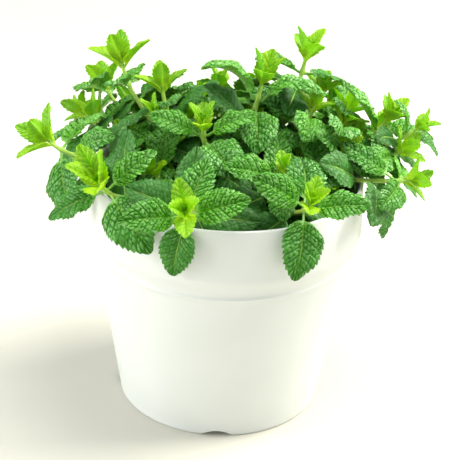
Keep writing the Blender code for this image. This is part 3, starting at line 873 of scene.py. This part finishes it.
@dataclass
class PlantPot:
    """The white pot: a tapered, thin-walled bucket with a deep collar, a foot ring and drain holes."""

    finish: bpy.types.Material
    steps: int = 192
    lip_points: int = 9
    collar_points: int = 16

    def profile(self) -> np.ndarray:
        """(radius, height) from the foot's inside, up the inner wall, over the lip and down the outside."""
        floor = FOOT_DEPTH + WALL
        slope = (SEAM_RADIUS - FOOT_RADIUS) / SEAM_HEIGHT
        corner = FOOT_RADIUS + slope * floor - WALL
        inner = [
            (0.0003, floor), (DRAIN_CIRCLE, floor), (corner - 0.004, floor),
            (corner - 0.0012, floor + 0.0004), (corner - 0.0002, floor + 0.0014),
            (corner + 0.0003, floor + 0.004),
            (SEAM_RADIUS - WALL, SEAM_HEIGHT), (COLLAR_RADIUS - WALL, COLLAR_LOW),
            (COLLAR_RADIUS - WALL - 0.0003, COLLAR_LOW + 0.006),
        ]
        lip = WALL / 2
        around = np.radians(np.linspace(180, 0, self.lip_points))
        lip_arc = np.stack([
            RIM_RADIUS - lip + lip * np.cos(around), POT_HEIGHT - lip + lip * np.sin(around),
        ], 1)
        t = np.linspace(0, 1, self.collar_points)
        ease = smooth(0, 1, t)
        collar = np.stack([
            COLLAR_RADIUS + (SEAM_RADIUS - COLLAR_RADIUS) * ease,
            COLLAR_LOW + (SEAM_HEIGHT + 0.0014 - COLLAR_LOW) * t,
        ], 1)
        bead = np.radians(np.linspace(70, -70, 5))
        bead_arc = np.stack([SEAM_RADIUS + 0.0006 * np.cos(bead), SEAM_HEIGHT + 0.0008 * np.sin(bead)], 1)
        low = np.linspace(0.985, 0.02, 24)
        wall = np.stack([FOOT_RADIUS + slope * SEAM_HEIGHT * low, SEAM_HEIGHT * low], 1)
        foot = [
            (FOOT_RADIUS + 0.0003, 0.0009), (FOOT_RADIUS - 0.0002, 0.0002), (FOOT_RADIUS - 0.0008, 0.0),
            (FOOT_RADIUS - FOOT_WIDTH + 0.0006, 0.0), (FOOT_RADIUS - FOOT_WIDTH, 0.0005),
            (FOOT_RADIUS - FOOT_WIDTH - 0.0004, FOOT_DEPTH - 0.0006),
            (FOOT_RADIUS - FOOT_WIDTH - 0.0012, FOOT_DEPTH), (DRAIN_CIRCLE, FOOT_DEPTH), (0.0003, FOOT_DEPTH),
        ]
        return np.concatenate([inner, lip_arc, collar, bead_arc, wall, foot])

    def surface(self) -> tuple[np.ndarray, np.ndarray]:
        """The profile turned about the axis, with the foot lifted into four low arches.

        An arch's height over an angle is that of a circle of the notch's radius, sunk to leave its depth.
        """
        profile = self.profile()
        turn = np.linspace(0, 2 * np.pi, self.steps, endpoint=False)
        radius, height = profile[:, :1], np.repeat(profile[:, 1:], self.steps, 1)
        quarter = (turn + np.pi / 4) % (np.pi / 2) - np.pi / 4
        arc = np.sqrt(np.clip(NOTCH_RADIUS**2 - (FOOT_RADIUS * quarter) ** 2, 0, None))
        arch = np.clip(arc - (NOTCH_RADIUS - NOTCH_DEPTH), 0, None)
        is_foot = (radius > FOOT_RADIUS - FOOT_WIDTH - 0.001) & (height < NOTCH_DEPTH)
        height = np.where(is_foot, np.maximum(height, arch + height * 0.1), height)
        points = np.stack([radius * np.cos(turn), radius * np.sin(turn), height], axis=-1)
        return points, grid_quads(len(profile), self.steps, wrap=True)[:, ::-1]

    def build(self) -> bpy.types.Object:
        """Makes the pot and cuts its drain holes."""
        builder = MeshBuilder()
        builder.add(*self.surface())
        pot = builder.build("turned_pot", self.finish, crease=60.0)
        close_poles(pot)
        drill_drains(pot)
        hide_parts("pot")
        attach(pot, "root")
        return pot


def close_poles(piece: bpy.types.Object) -> None:
    """Fills the tiny rings left round the axis."""
    shape = bmesh.new()
    shape.from_mesh(piece.data)
    open_edges = [edge for edge in shape.edges if edge.is_boundary]
    bmesh.ops.holes_fill(shape, edges=open_edges, sides=0)
    shape.to_mesh(piece.data)
    shape.free()


def drill_drains(pot: bpy.types.Object) -> None:
    """Cuts the ring of drain holes through the pot's floor."""
    builder = MeshBuilder()
    turn = np.linspace(0, 2 * np.pi, DRAIN_STEPS, endpoint=False)
    for i in range(DRAIN_COUNT):
        place = 2 * np.pi * (i + 0.5) / DRAIN_COUNT
        x = DRAIN_CIRCLE * np.cos(place) + DRAIN_RADIUS * np.cos(turn)
        y = DRAIN_CIRCLE * np.sin(place) + DRAIN_RADIUS * np.sin(turn)
        rings = np.stack([np.stack([x, y, np.full_like(x, z)], -1) for z in DRAIN_CUT])
        builder.add(*rings_closed(rings))
    cutter = builder.build("drain_cutter", pot.data.materials[0])
    boolean = pot.modifiers.new("drains", "BOOLEAN")
    boolean.object, boolean.solver = cutter, "EXACT"
    graph = bpy.context.evaluated_depsgraph_get()
    mesh = bpy.data.meshes.new_from_object(pot.evaluated_get(graph))
    pot.modifiers.clear()
    pot.data = mesh
    bpy.data.objects.remove(cutter)


@dataclass
class SoilBed:
    """The compost: a root ball that fills the pot, with a crumbly top, loose crumbs and perlite."""

    finish: bpy.types.Material
    perlite: bpy.types.Material
    rings: int = 90
    steps: int = 220
    lump_sizes: tuple[float, ...] = (0.0065, 0.003, 0.0016)
    lump_rise: float = 0.16
    sink: float = 0.0012
    crumb_count: int = 420
    crumb_sizes: tuple[float, float] = (0.0007, 0.0024)
    perlite_count: int = 60
    perlite_sizes: tuple[float, float] = (0.0008, 0.0018)
    seed: int = 11

    def top(self, radius: np.ndarray, turn: np.ndarray) -> np.ndarray:
        """The crumbly surface's height: the low crown plus three sizes of lumps, cell by cell."""
        x, y = radius * np.cos(turn), radius * np.sin(turn)
        share = np.clip(radius / (RIM_RADIUS - WALL), 0, 1)
        lumps = sum(
            size * self.lump_rise * smooth(0.0, 0.5, cell_border(x, y, size, size * 100))
            for size in self.lump_sizes
        )
        return SOIL_TOP + SOIL_CROWN * crown_share(share) + lumps - self.sink

    def build_bed(self) -> bpy.types.Object:
        """Makes the bed: a turned root ball with the crumbly top."""
        inset = WALL + 0.0006
        edge = RIM_RADIUS - inset
        turn = np.linspace(0, 2 * np.pi, self.steps, endpoint=False)[None]
        radius = np.linspace(0.0002, edge, self.rings)[:, None]
        top = self.top(radius, turn)
        low = FOOT_DEPTH + WALL + 0.0004
        side = np.array([
            (COLLAR_RADIUS - inset - 0.0002, COLLAR_LOW), (SEAM_RADIUS - inset, SEAM_HEIGHT),
            (FOOT_RADIUS - inset + 0.0006, low), (DRAIN_CIRCLE, low), (0.0002, low),
        ])
        radii = np.concatenate([radius, side[:, :1]])
        heights = np.concatenate([top, np.repeat(side[:, 1:], self.steps, 1)])
        points = np.stack([radii * np.cos(turn), radii * np.sin(turn), heights], -1)
        builder = MeshBuilder()
        builder.add(points, grid_quads(len(radii), self.steps, wrap=True))
        bed = builder.build("soil_bed", self.finish, crease=80.0)
        close_poles(bed)
        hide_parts("soil")
        return bed

    def crumbs(
        self, name: str, count: int, low: float, high: float, finish: bpy.types.Material, seed: int,
    ) -> bpy.types.Object:
        """Loose lumps: squashed, dented balls of a few dozen faces, sunk a third into the bed.

        Args:
            name: the piece's name.
            count: how many.
            low, high: their smallest and largest radius, in metres.
            finish: their material.
            seed: picks their places.

        Returns:
            The piece.
        """
        draw = np.random.default_rng(seed)
        builder = MeshBuilder()
        rows, columns = 5, 8
        polar = np.linspace(0.12, np.pi - 0.12, rows)[:, None]
        round_turn = np.linspace(0, 2 * np.pi, columns, endpoint=False)[None]
        for _ in range(count):
            reach = (RIM_RADIUS - WALL - 0.003) * math.sqrt(draw.random())
            way = draw.random() * 2 * np.pi
            size = draw.uniform(low, high)
            dent = draw.uniform(0.72, 1.15, (rows, columns))
            ball = np.stack([
                np.sin(polar) * np.cos(round_turn), np.sin(polar) * np.sin(round_turn),
                0.75 * np.cos(polar) * np.ones_like(round_turn),
            ], -1) * dent[..., None] * size
            angle = draw.random() * 6.28
            spin = np.array(Matrix.Rotation(angle, 3, Vector(draw.normal(size=3)).normalized()))
            height = float(self.top(np.array(reach), np.array(way)))
            centre = np.array([reach * np.cos(way), reach * np.sin(way), height + size * 0.35])
            builder.add(*rings_closed(ball[::-1] @ spin.T + centre))
        return builder.build(name, finish, crease=80.0)

    def build(self) -> list[bpy.types.Object]:
        """Makes the bed, its crumbs and its perlite."""
        pieces = [
            self.build_bed(),
            self.crumbs("soil_crumbs", self.crumb_count, *self.crumb_sizes, self.finish, self.seed),
            self.crumbs(
                "perlite_grains", self.perlite_count, *self.perlite_sizes, self.perlite, self.seed + 1,
            ),
        ]
        for piece in pieces:
            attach(piece, "root")
        return pieces


# ---------------------------------------------------------------- the leaves


@dataclass(frozen=True)
class LeafLook:
    """What sets one leaf's surface apart.

    Args:
        age: 0 for a folded young leaf to 1 for an old one.
        quilt: how far the blade puffs up between its veins, in mm on a 35 mm leaf.
        fold: the angle of each half above flat, in degrees.
        curl: how far the margins turn down, in mm on a 35 mm leaf.
        wave: how far the margins ripple, in mm on a 35 mm leaf.
        twist: the turn about the midrib by the tip, in degrees.
        bow: how far the tip swings aside, as a share of the length.
        tone: 0 for a bluish green to 1 for a yellowish one.
        seed: picks the pattern of cells and ripples.
    """

    age: float
    quilt: float
    fold: float
    curl: float
    wave: float
    twist: float
    bow: float
    tone: float
    seed: int


STAGE_LOOKS = {
    Stage.BUD: (0.05, 0.15, 38.0, 0.0, 0.2),
    Stage.TIP: (0.11, 0.40, 28.0, 0.5, 0.7),
    Stage.UPPER: (0.50, 1.15, 22.0, 1.8, 1.3),
    Stage.GROWN: (0.57, 1.05, 19.0, 1.7, 1.3),
    Stage.HANGING: (0.70, 0.65, 15.0, 1.4, 1.2),
    Stage.OLD: (0.92, 0.40, 12.0, 1.2, 1.3),
}


def look_of(stage: Stage, seed: int) -> LeafLook:
    """A leaf's look at its stage, with its own small differences, drawn from the seed."""
    age, quilt, fold, curl, wave = STAGE_LOOKS[stage]
    draw = np.random.default_rng(seed)
    return LeafLook(
        age=float(np.clip(age + draw.uniform(-0.06, 0.06), 0.0, 1.0)),
        quilt=quilt * draw.uniform(0.8, 1.2),
        fold=fold * draw.uniform(0.8, 1.25),
        curl=curl * draw.uniform(0.6, 1.4),
        wave=wave * draw.uniform(0.6, 1.3),
        twist=draw.uniform(-14, 14),
        bow=draw.uniform(-0.05, 0.05),
        tone=draw.uniform(0, 1),
        seed=seed,
    )


# The blade: its teeth, its side veins with their slant, its cells, and heights in mm on a 35 mm leaf.
MM_PER_TOOTH = 2.9
TEETH = (4, 13)
POINTS_PER_TOOTH = (3, 6)
VEINS = 7
VEIN_SLANT = 0.26
VEIN_START = 0.15
CELLS_PER_VEIN = 2.0
TIP_HALF = 0.12
BELLY = 0.9
SWELL = 0.14
CRIMP = 0.5
GROOVE = 0.35
FULL_LENGTH = 35
OFF_BLADE = 2


@dataclass(frozen=True)
class LeafBlade:
    """One leaf's fine surface: an upper and an under grid over its length and width, closed at the edge."""

    place: LeafPlace
    look: LeafLook
    inward: float
    spacing: float = 0.6 * MM

    def stations(self) -> tuple[np.ndarray, np.ndarray]:
        """Shares of the length, and how far through its tooth each one is."""
        length = self.place.length
        teeth = int(np.clip(round(length / MM / MM_PER_TOOTH), *TEETH))
        per_tooth = int(np.clip(round(0.9 * length / teeth / self.spacing), *POINTS_PER_TOOTH))
        stalk = np.array([-self.inward / length, 0.0, 0.04, 0.075])
        blade = np.linspace(STALK_SHARE, 1.0, teeth * per_tooth + 1)
        phase = (np.arange(len(blade)) % per_tooth) / per_tooth
        phase[-1] = 0.0
        return np.concatenate([stalk, blade]), np.concatenate([np.zeros(len(stalk)), phase])

    def build(self, builder: MeshBuilder) -> None:
        """Adds the leaf to a builder.

        Along the leaf, the half width follows the outline, and the outermost strip is pushed out and
        forward by a sawtooth: slowly out and suddenly back, once a tooth. Across it, the halves rise from
        the midrib by the fold, puff up between side veins and between the net of small veins, ripple
        towards the margin and turn down at its edge.
        """
        look, place = self.look, self.place
        length = place.length
        size = length / (FULL_LENGTH * MM)
        share, phase = self.stations()
        spine, along, normal = place.spine(share)
        breadth = LEAF_WIDTH * length / 2
        half = PETIOLE_HALF + (breadth - PETIOLE_HALF) * outline(share) ** 1.08
        half[-1] = TIP_HALF * MM
        columns = 2 * int(np.clip(round(breadth / self.spacing), 5, 24)) + 1
        t = np.linspace(-1, 1, columns)[None]
        s = share[:, None]
        blade = np.clip((s - STALK_SHARE) / (1 - STALK_SHARE), 0, 1)
        spread = np.abs(t)
        on_blade = smooth(0.0, 0.08, blade)

        # Teeth: only the margin moves, full size soon above the stalk and smaller towards the tip.
        margin = spread**9
        bite = smooth(0.02, 0.12, blade) * (1 - 0.45 * blade) * (1 - 0.8 * smooth(0.78, 1.0, blade))
        wide = np.clip(half / (0.6 * breadth), 0, 1)[:, None]
        tooth = phase[:, None] * bite * min(1.9, 0.7 + 1.0 * size) * MM
        y = t * half[:, None] + np.sign(t) * margin * tooth
        x = margin * tooth * 0.8

        y_mm = y / MM
        # Veins: the side veins' own number and the nearest one's distance, then the net of cells between.
        vein = VEINS * (blade - VEIN_SLANT * spread**0.9 * (1 - 0.35 * blade)) + VEIN_START
        nearest = np.abs(vein - np.round(vein)) * 0.9 * length / VEINS / MM * 0.8
        veined = (spread < 0.93) * on_blade * (1 - smooth(0.93, 1.0, blade))
        net = cell_border(CELLS_PER_VEIN * vein, y_mm / (1.15 + 0.75 * size), 1.0, look.seed % 97)
        puff = np.minimum(smooth(0.0, 0.42, net), smooth(0.1, 0.7 + 0.3 * size, nearest))
        puff = puff * smooth(0.2, 1.0, np.abs(y_mm)) * on_blade

        # Heights: the fold's rise, its belly, the rolled margin, swells between veins, ripples and quilting.
        radians = np.radians(look.fold * (1 - 0.35 * blade))
        out = np.abs(y)
        rounding = 0.8 * MM * size
        rise = (np.sqrt(out**2 + rounding**2) - rounding) * np.sin(radians)
        belly = BELLY * size * MM * np.sin(np.pi * spread**0.8) * on_blade * (1 - 0.4 * blade) * wide
        rolled = -look.curl * size * MM * spread**4 * on_blade * wide
        swells = SWELL * size * MM * (1 - np.cos(2 * np.pi * vein)) * np.sin(np.pi * spread) * on_blade
        ripple = np.sin(2 * np.pi * (2.6 * blade + 0.37 * look.seed) + np.sign(t) * 1.1)
        ripples = look.wave * size * MM * 0.8 * spread**2.2 * ripple * wide * smooth(0, 0.25, blade)
        quilting = look.quilt * min(size, 1.1) * MM * (puff - 0.5) * (1 - 0.5 * spread**4) * veined
        crimp = CRIMP * MM * min(size, 1.0) * spread**6 * np.sin(2 * np.pi * phase[:, None]) * bite
        height = rise + belly + rolled + swells + ripples + quilting + crimp
        height = height - GROOVE * MM * size * ridge(y_mm, 0.55) * on_blade

        # The twist and the bow, then the section laid across the midrib.
        turn = np.radians(look.twist) * np.clip(s, 0, 1) ** 1.5
        y_flat = y * np.cos(radians)
        y_turned = y_flat * np.cos(turn) - height * np.sin(turn) + look.bow * length * np.clip(s, 0, 1) ** 2
        z_turned = y_flat * np.sin(turn) + height * np.cos(turn)
        top = (
            spine[:, None] + x[..., None] * along[:, None]
            + y_turned[..., None] * place.side + z_turned[..., None] * normal[:, None]
        )
        # The underside: thick at the midrib and the stalk, thin at the margin.
        stalk = 1 - on_blade
        thick = (0.24 + 0.55 * ridge(y_mm, 0.6) * (1 - 0.6 * blade) + 0.5 * stalk) * MM * (1 - 0.5 * margin)
        under = top - (thick * np.ones_like(t))[..., None] * normal[:, None]
        # What the leaf finish reads: the midrib's paleness, and the age, younger towards the base.
        rows = len(share)
        full = np.ones_like(t)
        pale = np.clip(2.2 * look.age - 0.5, 0, 1) * (1 - smooth(0.5, 0.92, blade)) * on_blade + 0.6 * stalk
        base = smooth(0.0, 0.55, blade) * full
        aged = np.clip(look.age - 0.14 * (1 - base) + 0.04 * base, 0, 1)
        both = {
            "age": aged,
            "net": net + OFF_BLADE * (1 - on_blade),
            "side": nearest + OFF_BLADE * (1 - on_blade),
            "middle": np.abs(y_mm),
            "pale": pale * full,
            "tone": np.full_like(y, look.tone),
        }
        builder.add(
            np.concatenate([top.reshape(-1, 3), under.reshape(-1, 3)]), leaf_shell_quads(rows, columns),
            under=np.concatenate([np.zeros(rows * columns), np.ones(rows * columns)]),
            **{name: np.concatenate([value.ravel(), value.ravel()]) for name, value in both.items()},
        )


# ---------------------------------------------------------------- the plant


# The leaves of a growing tip: how far below the crown in metres, the turn, the opening (None for the
# shoot's own), the size over the tip's, and the droop.
TIP_FORMS = (
    (0.0034, 0, None, 1.0, 22),
    (0.0026, 180, 46, 0.96, 22),
    (0.0015, 95, 19, 0.92, 8),
    (0.0007, 267, 24, 0.86, 8),
)
BUD_FORMS = ((0.0, 40, 12, 0.46, 6), (0.0, 220, 16, 0.40, 6))

# The older pairs below a shoot's last one: how many, how far apart in mm, how each goes on from the last,
# and how much of the stem stays bare above the soil, in mm.
LOW_PAIRS = 5
LOW_SPACING = 9.5
LOW_TURN = 12
LOW_LENGTH, LOW_SHRINK = 36, 2
LOW_OPENING, LOW_SPREADING = 70, 5
LOW_DROOP = 36
LOW_ROOM = 4

# How far a leaf's stalk runs back into its stem, and the corner spacings of the finer and coarser leaves.
INWARD = RING_RADIUS - 1.2 * MM
TIP_SPACING, SIDE_TIP_SPACING, SIDE_SPACING, LOW_LEAF_SPACING = 0.45 * MM, 0.5 * MM, 0.75 * MM, 0.85 * MM

# Where the draws of each kind of piece start.
SIDE_SEED, SIDE_TIP_SEED, LOW_SEED = 9000, 9500, 5000

# A stem: points round it, rings along it, how square it is, its radius by the way below the crown, and
# how far and how long it swells at a pair.
STEM_AROUND, STEM_RINGS = 16, 48
STEM_SQUARE = 0.13
STEM_RADII = (0.0007, 0.0010, 0.00115, 0.0016)
NODE_RISE, NODE_LENGTH = 0.0005, 0.0014


@dataclass
class MintPlant:
    """The whole plant: square stems with growing tips, the leaf pairs, and the leaves low in the crown."""

    leaf: bpy.types.Material
    stem: bpy.types.Material
    room: Room = field(default_factory=Room)
    lines: list[StemLine] = field(default_factory=lambda: [StemLine(plan) for plan in SHOOTS])

    def pair_buds(self, name: str, line: StemLine, pair: Pair) -> list[LeafBud]:
        """The two leaves of a pair before they are placed."""
        return [
            LeafBud(name, line, pair.drop * MM, RING_RADIUS, pair.turn + half, opening, pair.length * MM,
                    pair.droop, PAIR_STATIONS)
            for half, opening in ((0, pair.opening), (180, pair.other_opening or pair.opening))
        ]

    def tip_buds(self, name: str, line: StemLine, plan: Shoot, forms: tuple) -> list[LeafBud]:
        """The leaves of the growing tip before they are placed."""
        turn = plan.pairs[0].turn + 90 if plan.tip_turn is None else plan.tip_turn
        return [
            LeafBud(name, line, drop, 0.0, turn + more, opening or plan.tip_opening, plan.tip * size * MM,
                    droop, TIP_STATIONS)
            for drop, more, opening, size, droop in forms
        ]

    def leaves(self, name: str, places: list[LeafPlace], stage: Stage, seed: int, inward: float,
               spacing: float = 0.6 * MM) -> bpy.types.Object:
        """Makes one piece of the leaves at some places."""
        builder = MeshBuilder()
        for i, place in enumerate(places):
            hangs = place.hangs and stage in (Stage.UPPER, Stage.GROWN)
            look = look_of(Stage.HANGING if hangs else stage, seed + i)
            LeafBlade(place, look, inward, spacing).build(builder)
        piece = builder.build(name, self.leaf)
        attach(piece, "root")
        return piece

    def build_pairs(self) -> None:
        """Makes the pairs that the frame has, where the frame has them."""
        for rank, word, stage in ((1, "lower", Stage.GROWN), (0, "upper", Stage.UPPER)):
            for number, (plan, line) in enumerate(zip(SHOOTS, self.lines), 1):
                node = f"leaf_pair_{number:02d}_{word}"
                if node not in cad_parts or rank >= len(plan.pairs):
                    continue
                corners = corners_of(node)
                buds = self.pair_buds(node, line, plan.pairs[rank])
                places = [self.room.as_in_frame(bud, corners) for bud in buds]
                name = f"mint_pair_{number:02d}_{word}"
                piece = self.leaves(name, places, stage, 100 * number + 10 * rank, INWARD)
                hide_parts(node)

    def build_tips(self) -> None:
        """Makes the growing tips, where the frame has them, each with two tiny leaves in its middle."""
        for number, (plan, line) in enumerate(zip(SHOOTS, self.lines), 1):
            node = f"stem_{number:02d}"
            corners = corners_of(node)
            outer = self.tip_buds(node, line, plan, TIP_FORMS)
            inner = self.tip_buds(node, line, plan, BUD_FORMS)
            places = [self.room.as_in_frame(bud, corners) for bud in outer] + [bud.place() for bud in inner]
            builder = MeshBuilder()
            for i, place in enumerate(places):
                stage = Stage.TIP if i < len(TIP_FORMS) else Stage.BUD
                LeafBlade(place, look_of(stage, 100 * number + 50 + i), 0.0, TIP_SPACING).build(builder)
            tip = builder.build(f"growing_tip_{number:02d}", self.leaf)
            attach(tip, "root")

    def settled(self, buds: list[LeafBud]) -> list[LeafPlace]:
        """The places of the leaves that find room, in turn."""
        places = [self.room.settle(bud) for bud in buds]
        return [place for place in places if place]

    def low_places(self, owner: str, plan: Shoot, line: StemLine) -> list[LeafPlace]:
        """The places of the older pairs below a shoot's last one, wherever the crown has room."""
        last = plan.pairs[-1]
        places = []
        for rank in range(1, LOW_PAIRS + 1):
            drop = last.drop + LOW_SPACING * rank
            if drop * MM > line.length - LOW_ROOM * MM:
                break
            pair = Pair(drop, last.turn + 90 * rank + LOW_TURN, LOW_LENGTH - LOW_SHRINK * rank,
                        LOW_OPENING + LOW_SPREADING * rank, LOW_DROOP)
            places += self.settled(self.pair_buds(f"{owner}_{rank}", line, pair))
        return places

    def build_low_leaves(self) -> None:
        """Makes the older pairs lower on each stem."""
        for number, (plan, line) in enumerate(zip(SHOOTS, self.lines), 1):
            places = self.low_places(f"low_{number}", plan, line)
            if places:
                self.leaves(f"low_leaves_{number:02d}", places, Stage.OLD, LOW_SEED + 20 * number,
                            INWARD, LOW_LEAF_SPACING)

    def build_side_shoots(self) -> None:
        """Makes the short side shoots inside the crown: a stem, its pairs and its tip, in three pieces."""
        lines = [StemLine(plan) for plan in SIDE_SHOOTS]
        for number, (plan, line) in enumerate(zip(SIDE_SHOOTS, lines), 1):
            owner = f"side_{number}"
            places = []
            for rank, pair in enumerate(plan.pairs):
                places += self.settled(self.pair_buds(f"{owner}_{rank}", line, pair))
            if places:
                self.leaves(f"side_leaves_{number:02d}", places, Stage.UPPER, SIDE_SEED + 20 * number,
                            INWARD, SIDE_SPACING)
            tips = self.settled(self.tip_buds(owner, line, plan, TIP_FORMS))
            if tips:
                self.leaves(f"side_tip_{number:02d}", tips, Stage.TIP, SIDE_TIP_SEED + 20 * number,
                            0.0, SIDE_TIP_SPACING)
        builder = MeshBuilder()
        for plan, line in zip(SIDE_SHOOTS, lines):
            self.add_stem(builder, plan, line)
        stems = builder.build("side_stems", self.stem, crease=70.0)
        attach(stems, "root")

    def add_stem(self, builder: MeshBuilder, plan: Shoot, line: StemLine) -> None:
        """Adds one square stem, from just inside the soil to the crown, swollen at each pair.

        Its radius is that of a circle with four low corners, 1 + 0.13 cos(4 a), and a ridge at each node.
        """
        around = np.linspace(0, 2 * np.pi, STEM_AROUND, endpoint=False)
        corner = 1 + STEM_SQUARE * np.cos(4 * around)
        points = line.curve(STEM_RINGS)
        points = np.concatenate([[points[0] - np.array([0, 0, 0.004])], points])
        steps = np.linalg.norm(np.diff(points, axis=0), axis=1)
        below = np.concatenate([[0], np.cumsum(steps[::-1])])[::-1]
        radius = np.interp(below, [0, 0.004, 0.02, line.length], STEM_RADII)
        for pair in plan.pairs:
            radius = radius + NODE_RISE * ridge(below - pair.drop * MM, NODE_LENGTH)
        along = np.gradient(points, axis=0)
        along /= np.linalg.norm(along, axis=1, keepdims=True)
        across = np.cross(along, np.array([0.31, 0.95, 0.0]))
        across /= np.linalg.norm(across, axis=1, keepdims=True)
        other = np.cross(along, across)
        ring = np.cos(around)[:, None] * across[:, None] + np.sin(around)[:, None] * other[:, None]
        shape, quads = rings_closed(points[:, None] + radius[:, None, None] * corner[:, None] * ring)
        low = np.repeat(np.concatenate([[1.0], below / line.length, [0.0]]), len(around))
        builder.add(shape, quads, low=np.clip(low, 0, 1))

    def build_stems(self) -> None:
        """Makes the square stems of the frame."""
        for number, (plan, line) in enumerate(zip(SHOOTS, self.lines), 1):
            builder = MeshBuilder()
            self.add_stem(builder, plan, line)
            stem = builder.build(f"square_stem_{number:02d}", self.stem, crease=70.0)
            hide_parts(f"stem_{number:02d}")
            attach(stem, "root")

    def build(self) -> None:
        """Grows the plant, the big leaves first."""
        self.build_stems()
        self.build_pairs()
        self.build_tips()
        log.info("leaves of the frame: %d", len(self.room.taken))
        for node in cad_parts:
            if node in ("pot", "soil") or node.startswith("stem_"):
                self.room.add(node, corners_of(node), faces_of(node))
        self.build_side_shoots()
        self.build_low_leaves()
        log.info("leaves in all: %d", len(self.room.taken))


# ---------------------------------------------------------------- the studio


# Each lamp's name, place, size in metres, power in watts and colour.
LAMPS = (
    ("window", (1.1, 0.35, 1.05), 0.9, 40.0, "#FFFBF0"),
    ("ceiling", (0.2, 0.0, 1.5), 0.7, 14.0, "#FFFEFA"),
    ("fill", (-1.2, -0.2, 0.45), 1.0, 17.0, "#FCFCFA"),
)
LAMP_AIM = (0, 0, 0.12)


@dataclass(frozen=True)
class Studio:
    """A pale floor, soft light from the right and behind, and the camera."""

    place: tuple[float, float, float] = (-0.0075, -0.702, 0.4532)
    pitch: float = 26.74
    roll: float = 2.62
    yaw: float = 0.85
    lens: float = 109.565
    floor: str = "#CAC8BC"
    floor_shade: str = "#C6C4B8"
    floor_half: float = 4.0
    cloud_mm: float = 300.0
    sky: str = "#F4F8FC"
    sky_strength: float = 0.76

    def build_camera(self) -> None:
        """Sets the camera from its pitch, yaw and roll."""
        pitch, yaw, roll = (math.radians(v) for v in (self.pitch, self.yaw, self.roll))
        ahead = Vector((math.sin(yaw) * math.cos(pitch), math.cos(yaw) * math.cos(pitch), -math.sin(pitch)))
        right = Vector((math.cos(yaw), -math.sin(yaw), 0))
        up = right.cross(ahead)
        tilted = right * math.cos(roll) + up * math.sin(roll)
        top = up * math.cos(roll) - right * math.sin(roll)
        data = bpy.data.cameras.new("camera")
        data.lens, data.sensor_width = self.lens, 36.0
        camera = bpy.data.objects.new("camera", data)
        columns = Matrix((tilted, top, -ahead)).transposed()
        camera.matrix_world = Matrix.Translation(self.place) @ columns.to_4x4()
        bpy.context.scene.collection.objects.link(camera)
        bpy.context.scene.camera = camera

    def build_floor(self) -> None:
        """Makes the pale floor, which isn't part of the plant."""
        square = np.array([(-1, -1, 0), (1, -1, 0), (1, 1, 0), (-1, 1, 0)], dtype=float)
        corners = square * self.floor_half
        made, tree, shader = new_material("studio_floor_paper")
        place = add_node(tree, "TexCoord", output="Object")
        cloud = add_node(tree, "TexNoise", {"Vector": place, "Scale": PER_M / self.cloud_mm, "Detail": 1.0})
        stops = ((0.3, self.floor_shade), (0.7, self.floor))
        paper = add_node(tree, "ValToRGB", {0: cloud}, stops=stops)
        plug(tree, shader, {"Base Color": paper, "Roughness": 0.8})
        builder = MeshBuilder()
        builder.add(corners, np.array([[0, 1, 2, 3]]))
        builder.build("studio_floor", made)

    def add_light(self, name: str, place: tuple, size: float, power: float, colour: str) -> None:
        """Adds a square area light that looks at the crown."""
        data = bpy.data.lights.new(name, "AREA")
        data.size, data.energy, data.color = size, power, linear(colour)[:3]
        light = bpy.data.objects.new(name, data)
        light.location = place
        aim = Vector(LAMP_AIM) - Vector(place)
        light.rotation_euler = aim.to_track_quat("-Z", "Y").to_euler()
        bpy.context.scene.collection.objects.link(light)

    def build_light(self) -> None:
        """Sets the pale sky and the soft lamps."""
        world = bpy.data.worlds.new("studio_sky")
        bpy.context.scene.world = world
        world.use_nodes = True
        sky = {"Color": linear(self.sky), "Strength": self.sky_strength}
        plug(world.node_tree, world.node_tree.nodes["Background"], sky)
        for lamp in LAMPS:
            self.add_light(*lamp)
        bpy.context.scene.view_settings.view_transform = "Standard"

    def build(self) -> None:
        """Sets up the studio."""
        self.build_camera()
        self.build_floor()
        self.build_light()


def main() -> None:
    """Builds every piece in order and reports it."""
    logging.basicConfig(level=logging.INFO, format="%(name)s: %(message)s")
    Studio().build()
    PlantPot(PotPlasticFinish().make()).build()
    SoilBed(PottingSoilFinish().make(), PerliteFinish().make()).build()
    MintPlant(MintLeafFinish().make(), MintStemFinish().make()).build()


if __name__ == "__main__":
    main()
